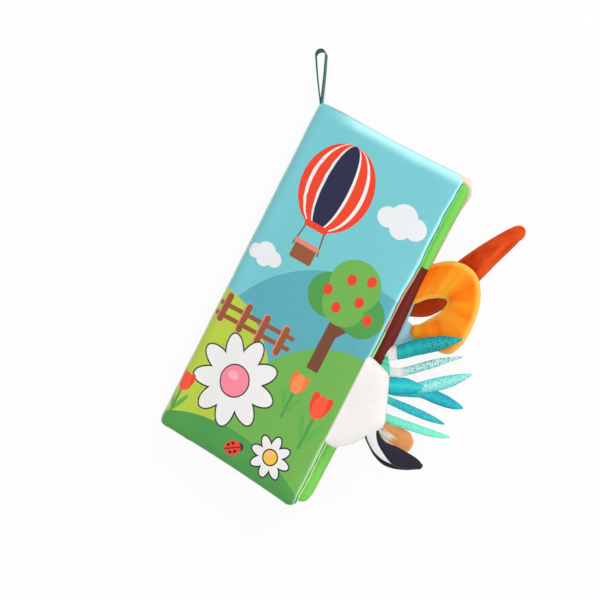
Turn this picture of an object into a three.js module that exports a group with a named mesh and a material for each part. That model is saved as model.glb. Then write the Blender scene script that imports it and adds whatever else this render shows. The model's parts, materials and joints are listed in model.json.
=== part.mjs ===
// A closed cloth book of four padded leaves, lying on its back cover, with stuffed tails
// and ribbons sewn into its fore-edge and a hang loop at the top of its spine.
// Millimetres, +Z up, +X from the spine to the fore-edge, +Y to the top of the book.
// The origin is the middle of the back cover's outer face.

import * as THREE from "three";

// Fit between pieces that touch
const FIT = 0.3;

// Leaves, measured from the stitch line of the spine
const COVER_REACH = 114.5;
const COVER_HEIGHT = 235;
const LEAF_REACH = 116.5;
const LEAF_HEIGHT = 229;
const REAR_STEP = 2.5;
const BACK_STEP = 3.5;
const CORNER_RADIUS = 6;
const EDGE_ROLL = 5;
const SIDE_PULL = 1;
const CROWN = 0.5;
const CROWN_INSET = 30;
const CLOTH = 0.8;
const FOAM = 4;
const FILM = 0.3;

// Spine
const GUTTER = 9;
const SEAM_RADIUS = 1.6;
const GUTTER_CLOTH = 1;
const WALL_START = 78;
const WALL_END = 7;

// Tails: the room that a leaf's tails take at the fore-edge, and how far they wag
const TAIL_LAYER = 11.3;
const WAG_RELIEF = 11;
const ROOT_THICK = 2.4;
const TAIL_CLOTH = 0.8;
const SWELL_END = 0.35;
const FILL_FROM = 2;
const CURL_THICK = 9.6;
const CURL_ROOT = 3.5;
const CURL_ALONG = 48;
const SMALL_THICK = 7;
const SMALL_ROOT = 3;
const SMALL_ALONG = -47.5;
const STRAIGHT_THICK = 9;
const STRAIGHT_LIFT = 1.4;
const TUFT_THICK = 7;

// White flap at the cover's fore-edge
const FLAP_THICK = 8;
const FLAP_EDGE = 9;
const FLAP_CORNER = 4;
const FLAP_TOP = -10;
const FLAP_BOTTOM = -68.5;

// Ribbon tail
const RIBBON_CLOTH = 0.6;
const RIBBON_RISE = 1.3;
const RIBBON_GATHER = 0.6;
const RIBBON_BASE_DEPTH = 4;
const RIBBON_BASE_THICK = 6;
const RIBBON_BASE_TOP = 0;
const RIBBON_BASE_BOTTOM = -42;

// Hang loop
const LOOP_LENGTH = 33;
const LOOP_RADIUS = 4;
const LOOP_BASE_RADIUS = 1.2;
const LOOP_CLOTH = 0.8;
const LOOP_WIDTH = 6.5;
const LOOP_LEAN = 33;
const LOOP_EYE_START = 6;
const LOOP_EYE_RADIUS = 0.3;

// Mesh steps
const CORNER_STEPS = 3;
const SIDE_STEPS = 3;
const ROLL_STEPS = 3;
const TAIL_SIDES = 12;
const ROUND_SIDES = 12;
const RIBBON_STATIONS = 5;

// Sizes that follow
const LEAF_THICK = 2 * CLOTH + FOAM + FILM + 3 * FIT;
const LEAF_PITCH = LEAF_THICK + FIT;
const LEAF_TILT = Math.asin((TAIL_LAYER - LEAF_PITCH) / COVER_REACH);
const SEAM = FIT / 2;
const PAD_INSET = EDGE_ROLL + FIT;
const FACE = LEAF_THICK / 2;
const OUTER_LEVEL = 1.5;
const STITCH_X = -COVER_REACH / 2;
const STITCH_Z = OUTER_LEVEL * LEAF_PITCH + FACE;
const STRIP_START = SEAM_RADIUS + FIT;

const COLOURS = {
  sky: 0x7ecdd4,
  leafGreen: 0x78d755,
  salmon: 0xd78773,
  maroon: 0x692323,
  peach: 0xe1c3a0,
  lightBlue: 0x91cde1,
  meadow: 0x70b250,
  foam: 0xf4efe2,
  film: 0xdfe6ea,
  filling: 0xfafafa,
  white: 0xf3f0ec,
  navy: 0x2d2a3c,
  orange: 0xff8c19,
  coral: 0xfa8c46,
  rust: 0xbe4619,
  teal: 0x1eb4b9,
  thread: 0x5cacba,
};

function cloth(colour, roughness = 0.8) {
  return new THREE.MeshStandardMaterial({ color: colour, roughness, metalness: 0 });
}

function point(x, y, z = 0) {
  return new THREE.Vector3(x, y, z);
}

function flat(x, y) {
  return new THREE.Vector2(x, y);
}

// Solids from rings of points

// A closed surface through rings that run the same way round, closed at each end by a fan
function loft(rings, startApex, endApex, turned = false) {
  const count = rings[0].length;
  const points = rings.flat();
  const last = (rings.length - 1) * count;
  const startIndex = points.push(startApex) - 1;
  const endIndex = points.push(endApex) - 1;
  const faces = [];
  for (let i = 0; i < count; i++) {
    const next = (i + 1) % count;
    faces.push([startIndex, next, i]);
    faces.push([endIndex, last + i, last + next]);
    for (let ring = 0; ring < last; ring += count) {
      faces.push([ring + i, ring + next, ring + count + i]);
      faces.push([ring + next, ring + count + next, ring + count + i]);
    }
  }
  const index = faces.flatMap(([a, b, c]) => (turned ? [a, c, b] : [a, b, c]));
  const geometry = new THREE.BufferGeometry().setFromPoints(points);
  geometry.setIndex(index);
  geometry.computeVertexNormals();
  return geometry;
}

function middle(ring) {
  const sum = ring.reduce((total, p) => total.add(p), point(0, 0));
  return sum.divideScalar(ring.length);
}

function addMesh(group, name, geometry, material) {
  const mesh = new THREE.Mesh(geometry, material);
  mesh.name = name;
  group.add(mesh);
  return mesh;
}

// A quarter turn of cloth rolled from the seam to the face: inset from the edge, and height
function rolledEdge(roll, face, cloth) {
  const steps = [];
  for (let i = 0; i <= ROLL_STEPS; i++) {
    const angle = (Math.PI / 2) * (i / ROLL_STEPS);
    const inset = cloth + (roll - cloth) * (1 - Math.cos(angle));
    steps.push([inset, SEAM + (face - cloth - SEAM) * Math.sin(angle)]);
  }
  return steps;
}

// One cloth face of a padded piece, a shallow tray that opens at its seam
function clothFace(outline, outer, inner, side) {
  const ringAt = ([inset, height]) => outline(inset).map((p) => point(p.x, p.y, side * height));
  const rings = [...inner].reverse().concat(outer).map(ringAt);
  return loft(rings, middle(rings[0]), middle(rings.at(-1)), side < 0);
}

function slab(outline, inset, low, high) {
  const rings = [low, high].map((z) => outline(inset).map((p) => point(p.x, p.y, z)));
  return loft(rings, middle(rings[0]), middle(rings[1]));
}

// Padded leaves

// The leaf's outline drawn in from its seam: round corners, and sides that pull in between them
function leafOutline({ reach, height }) {
  return (inset) => {
    const radius = Math.max(CORNER_RADIUS - inset, FIT);
    const low = GUTTER + inset + radius;
    const high = reach - inset - radius;
    const top = height / 2 - inset - radius;
    const corners = [flat(high, -top), flat(high, top), flat(low, top), flat(low, -top)];
    const pulls = [0, SIDE_PULL, 0, SIDE_PULL];
    const points = [];
    corners.forEach((corner, k) => {
      for (let i = 0; i <= CORNER_STEPS; i++) {
        const angle = (Math.PI / 2) * (k - 1 + i / CORNER_STEPS);
        points.push(flat(Math.cos(angle), Math.sin(angle)).multiplyScalar(radius).add(corner));
      }
      const outward = flat(Math.cos((Math.PI / 2) * k), Math.sin((Math.PI / 2) * k));
      const nextCorner = corners[(k + 1) % corners.length];
      for (let i = 1; i < SIDE_STEPS; i++) {
        const along = i / SIDE_STEPS;
        const pull = pulls[k] * (1 - (2 * along - 1) ** 2);
        const side = corner.clone().lerp(nextCorner, along);
        points.push(side.addScaledVector(outward, radius - pull));
      }
    });
    return points;
  };
}

function paddedLeaf(leaf) {
  const { name, level, colours, restsFlat } = leaf;
  const group = new THREE.Group();
  group.position.set(STITCH_X, 0, STITCH_Z);
  group.rotation.y = -level * LEAF_TILT;
  const plane = new THREE.Group();
  plane.position.z = (level - OUTER_LEVEL) * LEAF_PITCH;
  group.add(plane);

  const outline = leafOutline(leaf);
  const outer = rolledEdge(EDGE_ROLL, FACE, 0);
  const inner = rolledEdge(EDGE_ROLL, FACE, CLOTH);
  const crowned = (edge, face) => edge.concat([[CROWN_INSET, face + CROWN]]);
  const outerCrowned = crowned(outer, FACE);
  const innerCrowned = crowned(inner, FACE - CLOTH);
  const front = clothFace(outline, outerCrowned, innerCrowned, 1);
  const back = restsFlat
    ? clothFace(outline, outer, inner, -1)
    : clothFace(outline, outerCrowned, innerCrowned, -1);
  const filmTop = FACE - CLOTH - FIT;
  const foamTop = filmTop - FILM - FIT;
  addMesh(plane, `${name}_front_panel`, front, cloth(colours[0]));
  addMesh(plane, `${name}_back_panel`, back, cloth(colours[1]));
  addMesh(plane, `${name}_film`, slab(outline, PAD_INSET, filmTop - FILM, filmTop), cloth(COLOURS.film, 0.3));
  addMesh(plane, `${name}_foam`, slab(outline, PAD_INSET, foamTop - FOAM, foamTop), cloth(COLOURS.foam, 0.9));
  return { ...leaf, group, plane };
}

// Spine: a stitched roll, the cover cloth folded round it, and the inner leaves' flat gutters

function alongSpine(shape, length) {
  const geometry = new THREE.ExtrudeGeometry(shape, { depth: length, bevelEnabled: false, curveSegments: 1 });
  geometry.rotateX(Math.PI / 2);
  geometry.translate(0, length / 2, 0);
  return geometry;
}

// Half of the cover cloth's fold, from the stitch line up to the rolled edge of its cover
function spineWall(side) {
  const rise = OUTER_LEVEL * LEAF_PITCH + FACE - CLOTH;
  const steps = 6;
  const outerArc = [];
  const innerArc = [];
  for (let i = 0; i <= steps; i++) {
    const angle = THREE.MathUtils.degToRad(THREE.MathUtils.lerp(WALL_END, WALL_START, i / steps));
    const across = Math.cos(angle);
    const up = Math.sin(angle);
    outerArc.push(flat(GUTTER * (1 - across), side * rise * up));
    innerArc.push(flat(GUTTER - (GUTTER - CLOTH) * across, side * (rise - CLOTH) * up));
  }
  const loop = outerArc.concat(innerArc.reverse());
  return alongSpine(new THREE.Shape(side > 0 ? loop.reverse() : loop), COVER_HEIGHT);
}

// The flat strip from the stitched roll to the inner edge of a leaf
function gutterStrip(leafHeight, level) {
  const end = flat(GUTTER - FIT, (level - OUTER_LEVEL) * LEAF_PITCH);
  const direction = end.clone().normalize();
  const start = direction.clone().multiplyScalar(STRIP_START);
  const across = flat(-direction.y, direction.x).multiplyScalar(GUTTER_CLOTH / 2);
  const corners = [
    start.clone().sub(across),
    end.clone().sub(across),
    end.clone().add(across),
    start.clone().add(across),
  ];
  return alongSpine(new THREE.Shape(corners), leafHeight);
}

// Stuffed tails

// Stations along a tail, from pairs of points on its left and right edges, out and along
function tailStations({ edges, thick, lift = 0 }) {
  return edges.map(([leftX, leftY, rightX, rightY], i) => {
    const left = point(leftX, leftY);
    const right = point(rightX, rightY);
    const swell = THREE.MathUtils.smoothstep(i / (edges.length - 1), 0, SWELL_END);
    const centre = left.clone().add(right).divideScalar(2).setZ(lift * swell);
    const across = left.sub(right).divideScalar(2);
    const width = across.length();
    const height = Math.min(THREE.MathUtils.lerp(ROOT_THICK, thick, swell) / 2, width);
    return { centre, across: across.normalize(), width, height };
  });
}

function tailRing({ centre, across, width, height }, skin) {
  const ring = [];
  for (let i = 0; i < TAIL_SIDES; i++) {
    const angle = (2 * Math.PI * i) / TAIL_SIDES;
    const side = across.clone().multiplyScalar((width - skin) * Math.cos(angle));
    ring.push(side.add(centre).add(point(0, 0, (height - skin) * Math.sin(angle))));
  }
  return ring;
}

// A stuffed tail sewn into a fore-edge: its cloth skin, open at the seam, and its filling
function stuffedTail(leaf, name, tail, colour) {
  const stations = tailStations(tail);
  const last = stations.at(-1).centre;
  const tip = point(...tail.tip, last.z);
  const outer = stations.map((station) => tailRing(station, 0));
  const inner = stations.map((station) => tailRing(station, TAIL_CLOTH));
  const skinRings = inner.reverse().concat(outer);
  const skin = loft(skinRings, last.clone().lerp(tip, 0.6), tip);
  const filled = stations.slice(FILL_FROM);
  const core = filled.map((station) => tailRing(station, TAIL_CLOTH + 2 * FIT));
  const filling = loft(core, middle(core[0]), last.clone().lerp(tip, 0.2));
  const place = new THREE.Group();
  place.position.x = leaf.reach;
  addMesh(place, `${name}_cloth`, skin, cloth(colour, 0.95));
  addMesh(place, `${name}_filling`, filling, cloth(COLOURS.filling));
  leaf.plane.add(place);
}

// A root that is narrow at the seam and eased back to either side, so that the tail can wag
function easedRoot(rootHalf, half, along) {
  const out = 2 * FIT + (half - rootHalf) * Math.tan(THREE.MathUtils.degToRad(WAG_RELIEF));
  return [
    [2 * FIT, along + rootHalf, 2 * FIT, along - rootHalf],
    [out, along + half, out, along - half],
  ];
}

// White flap: two cloth faces sewn round a filling, hinged along the cover's fore-edge

function flapOutline() {
  const points = [
    flat(FIT, FLAP_BOTTOM),
    flat(9, FLAP_BOTTOM),
    flat(26, -41),
    flat(26.5, -36),
    flat(14, FLAP_TOP - 2),
    flat(FIT, FLAP_TOP),
  ];
  const count = points.length;
  const rounded = points.flatMap((corner, i) => {
    const before = points[(i + count - 1) % count];
    const after = points[(i + 1) % count];
    const cut = (toward) => {
      const reach = Math.min(FLAP_CORNER, corner.distanceTo(toward) / 3);
      return corner.clone().lerp(toward, reach / corner.distanceTo(toward));
    };
    const enter = cut(before);
    const leave = cut(after);
    const bend = enter.clone().add(leave).multiplyScalar(0.25).addScaledVector(corner, 0.5);
    return [enter, bend, leave];
  });
  const centre = rounded.reduce((sum, p) => sum.add(p), flat(0, 0)).divideScalar(rounded.length);
  return (inset) => rounded.map((p) => p.clone().lerp(centre, inset / p.distanceTo(centre)));
}

function flapTail(leaf) {
  const outline = flapOutline();
  const face = FLAP_THICK / 2;
  const slope = (cloth) => [
    [cloth, SEAM],
    [cloth + FLAP_EDGE / 3, SEAM + (face - SEAM - cloth) / 2],
    [cloth + FLAP_EDGE, face - cloth],
  ];
  const place = new THREE.Group();
  place.position.x = leaf.reach;
  addMesh(place, "flap_front_cloth", clothFace(outline, slope(0), slope(CLOTH), 1), cloth(COLOURS.white));
  addMesh(place, "flap_back_cloth", clothFace(outline, slope(0), slope(CLOTH), -1), cloth(COLOURS.white));
  const fill = face - CLOTH - FIT;
  const rings = [
    [FLAP_EDGE, -fill],
    [FLAP_EDGE / 2 + CLOTH, 0],
    [FLAP_EDGE, fill],
  ].map(([inset, z]) => outline(inset + CLOTH + FIT).map((p) => point(p.x, p.y, z)));
  const filling = loft(rings, middle(rings[0]), middle(rings[2]));
  addMesh(place, "flap_filling", filling, cloth(COLOURS.filling));
  leaf.plane.add(place);
}

// Ribbon tail: pointed ribbons fanned from one gathered base

function ribbonBase() {
  const half = (RIBBON_BASE_TOP - RIBBON_BASE_BOTTOM) / 2;
  const ease = half * Math.tan(THREE.MathUtils.degToRad(WAG_RELIEF));
  const front = 2 * FIT + ease + RIBBON_BASE_DEPTH;
  const shape = new THREE.Shape([
    flat(2 * FIT, 0),
    flat(2 * FIT + ease, -half),
    flat(front, -half),
    flat(front, half),
    flat(2 * FIT + ease, half),
  ]);
  const depth = RIBBON_BASE_THICK;
  const geometry = new THREE.ExtrudeGeometry(shape, { depth, bevelEnabled: false });
  geometry.translate(0, RIBBON_BASE_BOTTOM + half, -depth / 2);
  return { geometry, front };
}

function ribbon(seam, tip, width) {
  const ahead = tip.clone().sub(seam).setZ(0).normalize();
  const across = point(-ahead.y, ahead.x);
  const root = seam.clone();
  root.x += (RIBBON_GATHER * width * Math.abs(ahead.y)) / 2;
  const rings = [];
  for (let i = 0; i < RIBBON_STATIONS; i++) {
    const t = i / RIBBON_STATIONS;
    const half = (width / 2) * Math.min(RIBBON_GATHER + t, 1.7 - 1.4 * t, 1);
    const centre = root.clone().lerp(tip, t);
    const corner = (sign, up) =>
      centre.clone().addScaledVector(across, sign * half).add(point(0, 0, (up * RIBBON_CLOTH) / 2));
    rings.push([corner(-1, -1), corner(1, -1), corner(1, 1), corner(-1, 1)]);
  }
  return loft(rings, middle(rings[0]), tip);
}

function ribbonTail(leaf) {
  const place = new THREE.Group();
  place.position.x = leaf.reach;
  const base = ribbonBase();
  addMesh(place, "ribbon_base", base.geometry, cloth(COLOURS.teal, 0.6));
  // Tip out from the fore-edge, tip along it, and width of each ribbon, from the top down
  const ribbons = [
    [40.5, 29.3, 8.5],
    [45.6, 18.7, 6],
    [55.6, 12.4, 7],
    [40, -4, 6],
    [60.2, -9.1, 8.5],
    [52.1, -22.3, 7.5],
    [60.7, -28.7, 8],
  ];
  const pitch = (RIBBON_BASE_TOP - RIBBON_BASE_BOTTOM) / ribbons.length;
  ribbons.forEach(([out, along, width], i) => {
    const level = ((i % 3) - 1) * RIBBON_RISE;
    const seam = point(base.front + FIT, RIBBON_BASE_TOP - (i + 0.5) * pitch, level);
    const tip = point(out, along, 2 * level);
    addMesh(place, `ribbon_${i + 1}`, ribbon(seam, tip, width), cloth(COLOURS.teal, 0.5));
  });
  leaf.plane.add(place);
}

// Hang loop: a ribbon doubled into a drop shape, its eye facing up

// Two circles on the Y axis with the straight sides that wrap them
function dropOutline(lowY, lowRadius, highY, highRadius) {
  const slant = Math.asin((highRadius - lowRadius) / (highY - lowY));
  const points = [];
  for (let i = 0; i <= ROUND_SIDES; i++) {
    const angle = -slant + (Math.PI + 2 * slant) * (i / ROUND_SIDES);
    points.push(flat(highRadius * Math.cos(angle), highY + highRadius * Math.sin(angle)));
  }
  const lowSteps = ROUND_SIDES / 2;
  for (let i = 0; i <= lowSteps; i++) {
    const angle = Math.PI + slant + (Math.PI - 2 * slant) * (i / lowSteps);
    points.push(flat(lowRadius * Math.cos(angle), lowY + lowRadius * Math.sin(angle)));
  }
  return points;
}

function hangLoop() {
  const headY = LOOP_LENGTH - LOOP_RADIUS;
  const shape = new THREE.Shape(dropOutline(0, LOOP_BASE_RADIUS, headY, LOOP_RADIUS));
  const eye = dropOutline(LOOP_EYE_START, LOOP_EYE_RADIUS, headY, LOOP_RADIUS - LOOP_CLOTH);
  shape.holes.push(new THREE.Path(eye));
  const geometry = new THREE.ExtrudeGeometry(shape, { depth: LOOP_WIDTH, bevelEnabled: false });
  geometry.translate(0, 0, -LOOP_WIDTH / 2);
  const place = new THREE.Group();
  place.position.set(STITCH_X, COVER_HEIGHT / 2 + FIT + LOOP_BASE_RADIUS, STITCH_Z);
  place.rotation.z = THREE.MathUtils.degToRad(LOOP_LEAN);
  addMesh(place, "hang_loop", geometry, cloth(COLOURS.teal, 0.6));
  return place;
}

// The book, from the back cover up

const { sky, leafGreen, salmon, maroon, peach, lightBlue } = COLOURS;
const cover = { reach: COVER_REACH, height: COVER_HEIGHT };
const inside = { reach: LEAF_REACH, height: LEAF_HEIGHT };
const backSize = { reach: COVER_REACH - BACK_STEP, height: COVER_HEIGHT };
const rearSize = { reach: LEAF_REACH - REAR_STEP, height: LEAF_HEIGHT };
const backCover = paddedLeaf({ name: "back_cover", level: 0, ...backSize, colours: [lightBlue, sky], restsFlat: true });
const rearLeaf = paddedLeaf({ name: "rear_leaf", level: 1, ...rearSize, colours: [lightBlue, peach] });
const frontLeaf = paddedLeaf({ name: "front_leaf", level: 2, ...inside, colours: [maroon, leafGreen] });
const frontCover = paddedLeaf({ name: "front_cover", level: 3, ...cover, colours: [sky, salmon] });

addMesh(backCover.group, "back_spine_wall", spineWall(-1), cloth(sky));
addMesh(frontCover.group, "front_spine_wall", spineWall(1), cloth(sky));
addMesh(rearLeaf.group, "rear_leaf_gutter", gutterStrip(LEAF_HEIGHT, rearLeaf.level), cloth(lightBlue));
addMesh(frontLeaf.group, "front_leaf_gutter", gutterStrip(LEAF_HEIGHT, frontLeaf.level), cloth(leafGreen));

const spineLength = COVER_HEIGHT - 2 * FIT;
const seamRoll = new THREE.CylinderGeometry(SEAM_RADIUS, SEAM_RADIUS, spineLength, ROUND_SIDES);
addMesh(backCover.group, "spine_seam", seamRoll, cloth(COLOURS.thread));

// Each tail's edges, left then right, as points out from the fore-edge and along it
stuffedTail(
  backCover,
  "straight_tail",
  {
    edges: [
      [2 * FIT, 44, 2 * FIT, 21],
      [7.5, 53, 12.5, 27],
      [11.5, 62.5, 20, 36.5],
      [16.5, 73.5, 27, 50],
      [21.5, 83.4, 32.5, 64.3],
      [27, 93, 36.5, 78],
      [32.5, 100.5, 41, 91],
      [36.5, 105.2, 43.8, 100],
    ],
    tip: [41.5, 107.5],
    thick: STRAIGHT_THICK,
    lift: STRAIGHT_LIFT,
  },
  COLOURS.rust,
);
stuffedTail(
  rearLeaf,
  "curl_tail",
  {
    edges: [
      ...easedRoot(CURL_ROOT, 12.8, CURL_ALONG),
      [7, 65, 8.5, 39.8],
      [16.3, 68.9, 13.5, 42.9],
      [24.6, 68.5, 16.5, 43.8],
      [32.3, 64, 18.7, 44],
      [36.7, 57.1, 19.7, 43.2],
      [40.5, 44, 19.7, 41],
      [41.3, 30.9, 18.7, 37.5],
      [39.7, 20.1, 17, 33.5],
      [33.5, 13.6, 14.7, 30],
      [22.5, 12.6, 12, 26.8],
      [13.1, 14, 9, 22.6],
    ],
    tip: [6.1, 17],
    thick: CURL_THICK,
  },
  COLOURS.orange,
);
stuffedTail(
  rearLeaf,
  "small_tail",
  {
    edges: [
      ...easedRoot(SMALL_ROOT, 6, SMALL_ALONG),
      [14.5, -41.5, 14.5, -54],
      [23, -41.6, 23, -55],
      [30.5, -41.2, 30.5, -55.5],
      [37.5, -41.6, 36.5, -55.3],
      [41.5, -44.5, 40.5, -53.8],
    ],
    tip: [43.2, -50],
    thick: SMALL_THICK,
  },
  COLOURS.coral,
);
stuffedTail(
  frontCover,
  "tuft",
  {
    edges: [
      [25.2, -43.8, 19.8, -52.4],
      [28.5, -47, 22.5, -55.5],
      [33, -49.4, 28, -59],
      [40.3, -48.2, 36, -61.6],
      [48.8, -47.4, 45, -60.9],
      [56.1, -47.1, 53, -57.2],
      [59.3, -48.4, 58.5, -53.8],
    ],
    tip: [61, -51],
    thick: TUFT_THICK,
  },
  COLOURS.navy,
);
flapTail(frontCover);
ribbonTail(frontLeaf);

const book = new THREE.Group();
book.add(backCover.group, rearLeaf.group, frontLeaf.group, frontCover.group);
book.add(hangLoop());

export default book;
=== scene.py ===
# %% [markdown]
# # A cloth book with tails
# A soft book for babies: four padded cloth leaves sewn together at a spine, with stuffed tails, ribbons
# and a white flap sewn into the fore-edge and a ribbon loop to hang it by. The solids of the book are
# loaded first and stay where they are. They could simply be coloured, but cloth swells, folds and rolls
# at its edges, so everything below is cloth that is cut, sewn and dressed over them.

# %% Load the book's frame
import json
import math

import bpy
import numpy as np
from mathutils import Matrix, Vector


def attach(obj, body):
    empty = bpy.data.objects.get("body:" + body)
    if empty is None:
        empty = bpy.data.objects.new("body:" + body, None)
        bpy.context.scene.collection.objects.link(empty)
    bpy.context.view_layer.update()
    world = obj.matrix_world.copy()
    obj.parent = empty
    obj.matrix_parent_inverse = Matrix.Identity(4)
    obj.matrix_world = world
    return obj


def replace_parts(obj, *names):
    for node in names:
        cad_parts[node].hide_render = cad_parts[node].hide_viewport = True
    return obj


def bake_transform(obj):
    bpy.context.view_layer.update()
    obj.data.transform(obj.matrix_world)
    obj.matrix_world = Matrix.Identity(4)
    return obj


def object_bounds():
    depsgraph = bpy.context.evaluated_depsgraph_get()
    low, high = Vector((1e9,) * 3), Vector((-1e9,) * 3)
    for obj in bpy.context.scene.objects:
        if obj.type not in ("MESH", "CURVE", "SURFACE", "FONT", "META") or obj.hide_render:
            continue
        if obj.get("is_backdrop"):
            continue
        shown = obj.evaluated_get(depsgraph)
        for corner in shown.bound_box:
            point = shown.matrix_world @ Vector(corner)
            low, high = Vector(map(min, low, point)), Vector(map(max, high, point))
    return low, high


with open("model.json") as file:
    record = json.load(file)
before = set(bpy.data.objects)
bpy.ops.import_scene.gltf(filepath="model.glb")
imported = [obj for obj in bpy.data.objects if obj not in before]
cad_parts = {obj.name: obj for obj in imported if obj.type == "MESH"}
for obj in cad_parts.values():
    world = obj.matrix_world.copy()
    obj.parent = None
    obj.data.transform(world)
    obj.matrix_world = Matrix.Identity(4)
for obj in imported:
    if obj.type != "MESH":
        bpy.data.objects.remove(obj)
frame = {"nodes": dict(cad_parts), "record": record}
cad_box = [list(corner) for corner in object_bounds()]
scene = bpy.context.scene
scene.view_settings.view_transform = "Standard"

# %% [markdown]
# ## Where the leaves lie
# The leaves all turn about one stitch line, so each has its own flat coordinates: out from the stitch
# line, up the book, and up out of the leaf's middle. Shapes could be typed straight in the book's frame,
# but then each would hold the leaf's slope as well. Drawn flat, in millimetres, every sewing pattern
# stays readable, as it is on a cutting table, and one function places it in the book.

# %% Leaf coordinates
MM = 1000.0
turning_points = {joint["name"]: joint["pos_m"] for joint in frame["record"]["behaviour"]["joints"]}
STITCH = MM * np.array(turning_points["front_cover_turn"])
LEAF_PITCH = 7.1
LEVELS = {"back_cover": 0, "rear_leaf": 1, "front_leaf": 2, "front_cover": 3}
MIDDLE_LEVEL = 1.5
REACH = {"back_cover": 111.0, "rear_leaf": 114.0, "front_leaf": 116.5, "front_cover": 114.5}
HEIGHT = {"back_cover": 235.0, "rear_leaf": 229.0, "front_leaf": 229.0, "front_cover": 235.0}
FORE_EDGE_RISE = 4.2
LEAF_TILT = math.asin(FORE_EDGE_RISE / REACH["front_cover"])


def in_book(leaf, points):
    """Points of a leaf, in its own millimetres, as metres in the book's frame."""
    level = LEVELS[leaf]
    turn = level * LEAF_TILT
    out, up, lift = np.asarray(points, float).reshape(-1, 3).T
    lift = lift + (level - MIDDLE_LEVEL) * LEAF_PITCH
    x = out * math.cos(turn) - lift * math.sin(turn)
    z = out * math.sin(turn) + lift * math.cos(turn)
    return (np.stack([x, up, z], 1) + STITCH) / MM


def at_edge(leaf, out, up, lift=0.0):
    """One point measured out from a leaf's fore-edge."""
    return Vector(in_book(leaf, [(REACH[leaf] + out, up, lift)])[0])


print("fore-edge of the front cover:", at_edge("front_cover", 0, 0))

# %% [markdown]
# ## The camera
# The camera stands where the photograph was taken from: almost straight above, leaning to the fore-edge,
# with the book turned in the frame. Rotation angles could be typed instead, but two directions, one along
# the view and one up the picture, are easier to reason about. Their cross product gives the third.

# %% Camera
CAMERA_PLACE = (0.27704, 0.14554, 0.99989)
CAMERA_VIEW = (-0.2773, -0.1425, -0.9502)
CAMERA_UP = (-0.4739, 0.8805, 0.0063)
camera_data = bpy.data.cameras.new("camera")
camera_data.lens = 96
camera_data.sensor_width = 36
camera = bpy.data.objects.new("camera", camera_data)
scene.collection.objects.link(camera)
forward = Vector(CAMERA_VIEW).normalized()
right = forward.cross(Vector(CAMERA_UP)).normalized()
above = right.cross(forward)
pose = [(right[i], above[i], -forward[i], CAMERA_PLACE[i]) for i in range(3)]
camera.matrix_world = Matrix([*pose, (0, 0, 0, 1)])
scene.camera = camera
print("camera looks along", tuple(round(v, 3) for v in forward))

# %% [markdown]
# ## The lamps
# The photograph has the plain light of a catalogue picture. One lamp would leave the tails dark, because
# they lie under the flap and the ribbons. So there are four broad ones: a window at the top edge, a front
# lamp near the camera that reaches in among the tails, a low one for the fore-edge and a weak one that
# keeps the rounded spine from turning grey.

# %% Lamps
LAMPS = (
    ("window_lamp", (0.4, 1.15, 0.85), (0, 0, 0), 0.7, 6.2),
    ("front_lamp", (0.46, 0.14, 1.45), (0.03, 0, 0), 0.8, 8.5),
    ("spine_lamp", (-1.0, 0.35, 0.55), (-0.05, 0, 0.01), 0.8, 2.2),
    ("low_lamp", (0.75, -0.75, 0.8), (0.06, -0.04, 0), 0.9, 2.4),
)
for name, place, target, size, power in LAMPS:
    data = bpy.data.lights.new(name, "AREA")
    data.shape = "DISK"
    data.size = size
    data.energy = power
    lamp = bpy.data.objects.new(name, data)
    lamp.location = place
    lamp.rotation_euler = (Vector(target) - Vector(place)).to_track_quat("-Z", "Y").to_euler()
    scene.collection.objects.link(lamp)
print("lamps:", len(LAMPS))

# %% [markdown]
# ## Wiring shader nodes
# Every finish below is a web of shader nodes. Made one call at a time, the web takes more lines than the
# idea that it holds. Three small helpers keep it short: one sets or links the inputs of a node, one adds a
# node with its inputs, and one adds a sum or a product.


# %% Node helpers
def wire(tree, node, inputs):
    """Sets each input to a value, or links it to another node's output."""
    for socket, value in inputs.items():
        if isinstance(value, bpy.types.NodeSocket):
            tree.links.new(value, node.inputs[socket])
        else:
            node.inputs[socket].default_value = value
    return node


def added(tree, kind, inputs, **settings):
    """A new shader node with its settings made and its inputs wired."""
    node = tree.nodes.new(f"ShaderNode{kind}")
    for name, value in settings.items():
        setattr(node, name, value)
    return wire(tree, node, inputs)


def math_of(tree, kind, *values):
    return added(tree, "Math", dict(enumerate(values)), operation=kind).outputs[0]


print("node helpers: wire, added, math_of")

# %% [markdown]
# ## The room
# The book lies on white paper in a pale room. If the lamps alone made that white, the book would be far too
# bright. So the room shows its white only to the camera and to reflections, which Light Path tells apart,
# and stays an ordinary pale room for the light that falls on the book.

# %% Room
ROOM_LIGHT = 0.39
SCREEN_WHITE = (1, 1, 1, 1)


def seen_directly(tree):
    """A share that is 1 for what is seen, mirrored or seen through, and 0 for light on the book."""
    path = added(tree, "LightPath", {}).outputs
    mirrored = math_of(tree, "MAXIMUM", path["Is Camera Ray"], path["Is Glossy Ray"])
    return math_of(tree, "MAXIMUM", mirrored, path["Is Transmission Ray"])


def mixed_shader(tree, share, first, second, output):
    mix = added(tree, "MixShader", {0: share, 1: first.outputs[0], 2: second.outputs[0]})
    tree.links.new(mix.outputs[0], output.inputs[0])


world = bpy.data.worlds.new("pale_room")
scene.world = world
world.use_nodes = True
room = world.node_tree
walls = wire(room, room.nodes["Background"], {"Color": SCREEN_WHITE, "Strength": ROOM_LIGHT})
backdrop = added(room, "Background", {"Color": SCREEN_WHITE})
mixed_shader(room, seen_directly(room), walls, backdrop, room.nodes["World Output"])
print("room light:", ROOM_LIGHT)

# %% [markdown]
# ## The floor
# The paper under the book is one large square. Its edge must never show, so it runs far past the picture.
# In this light plain paper would come out grey. So most of what the camera sees of it is white by itself,
# as in the room, and the share of plain paper that is left in the mix keeps the book's shadow.

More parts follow.
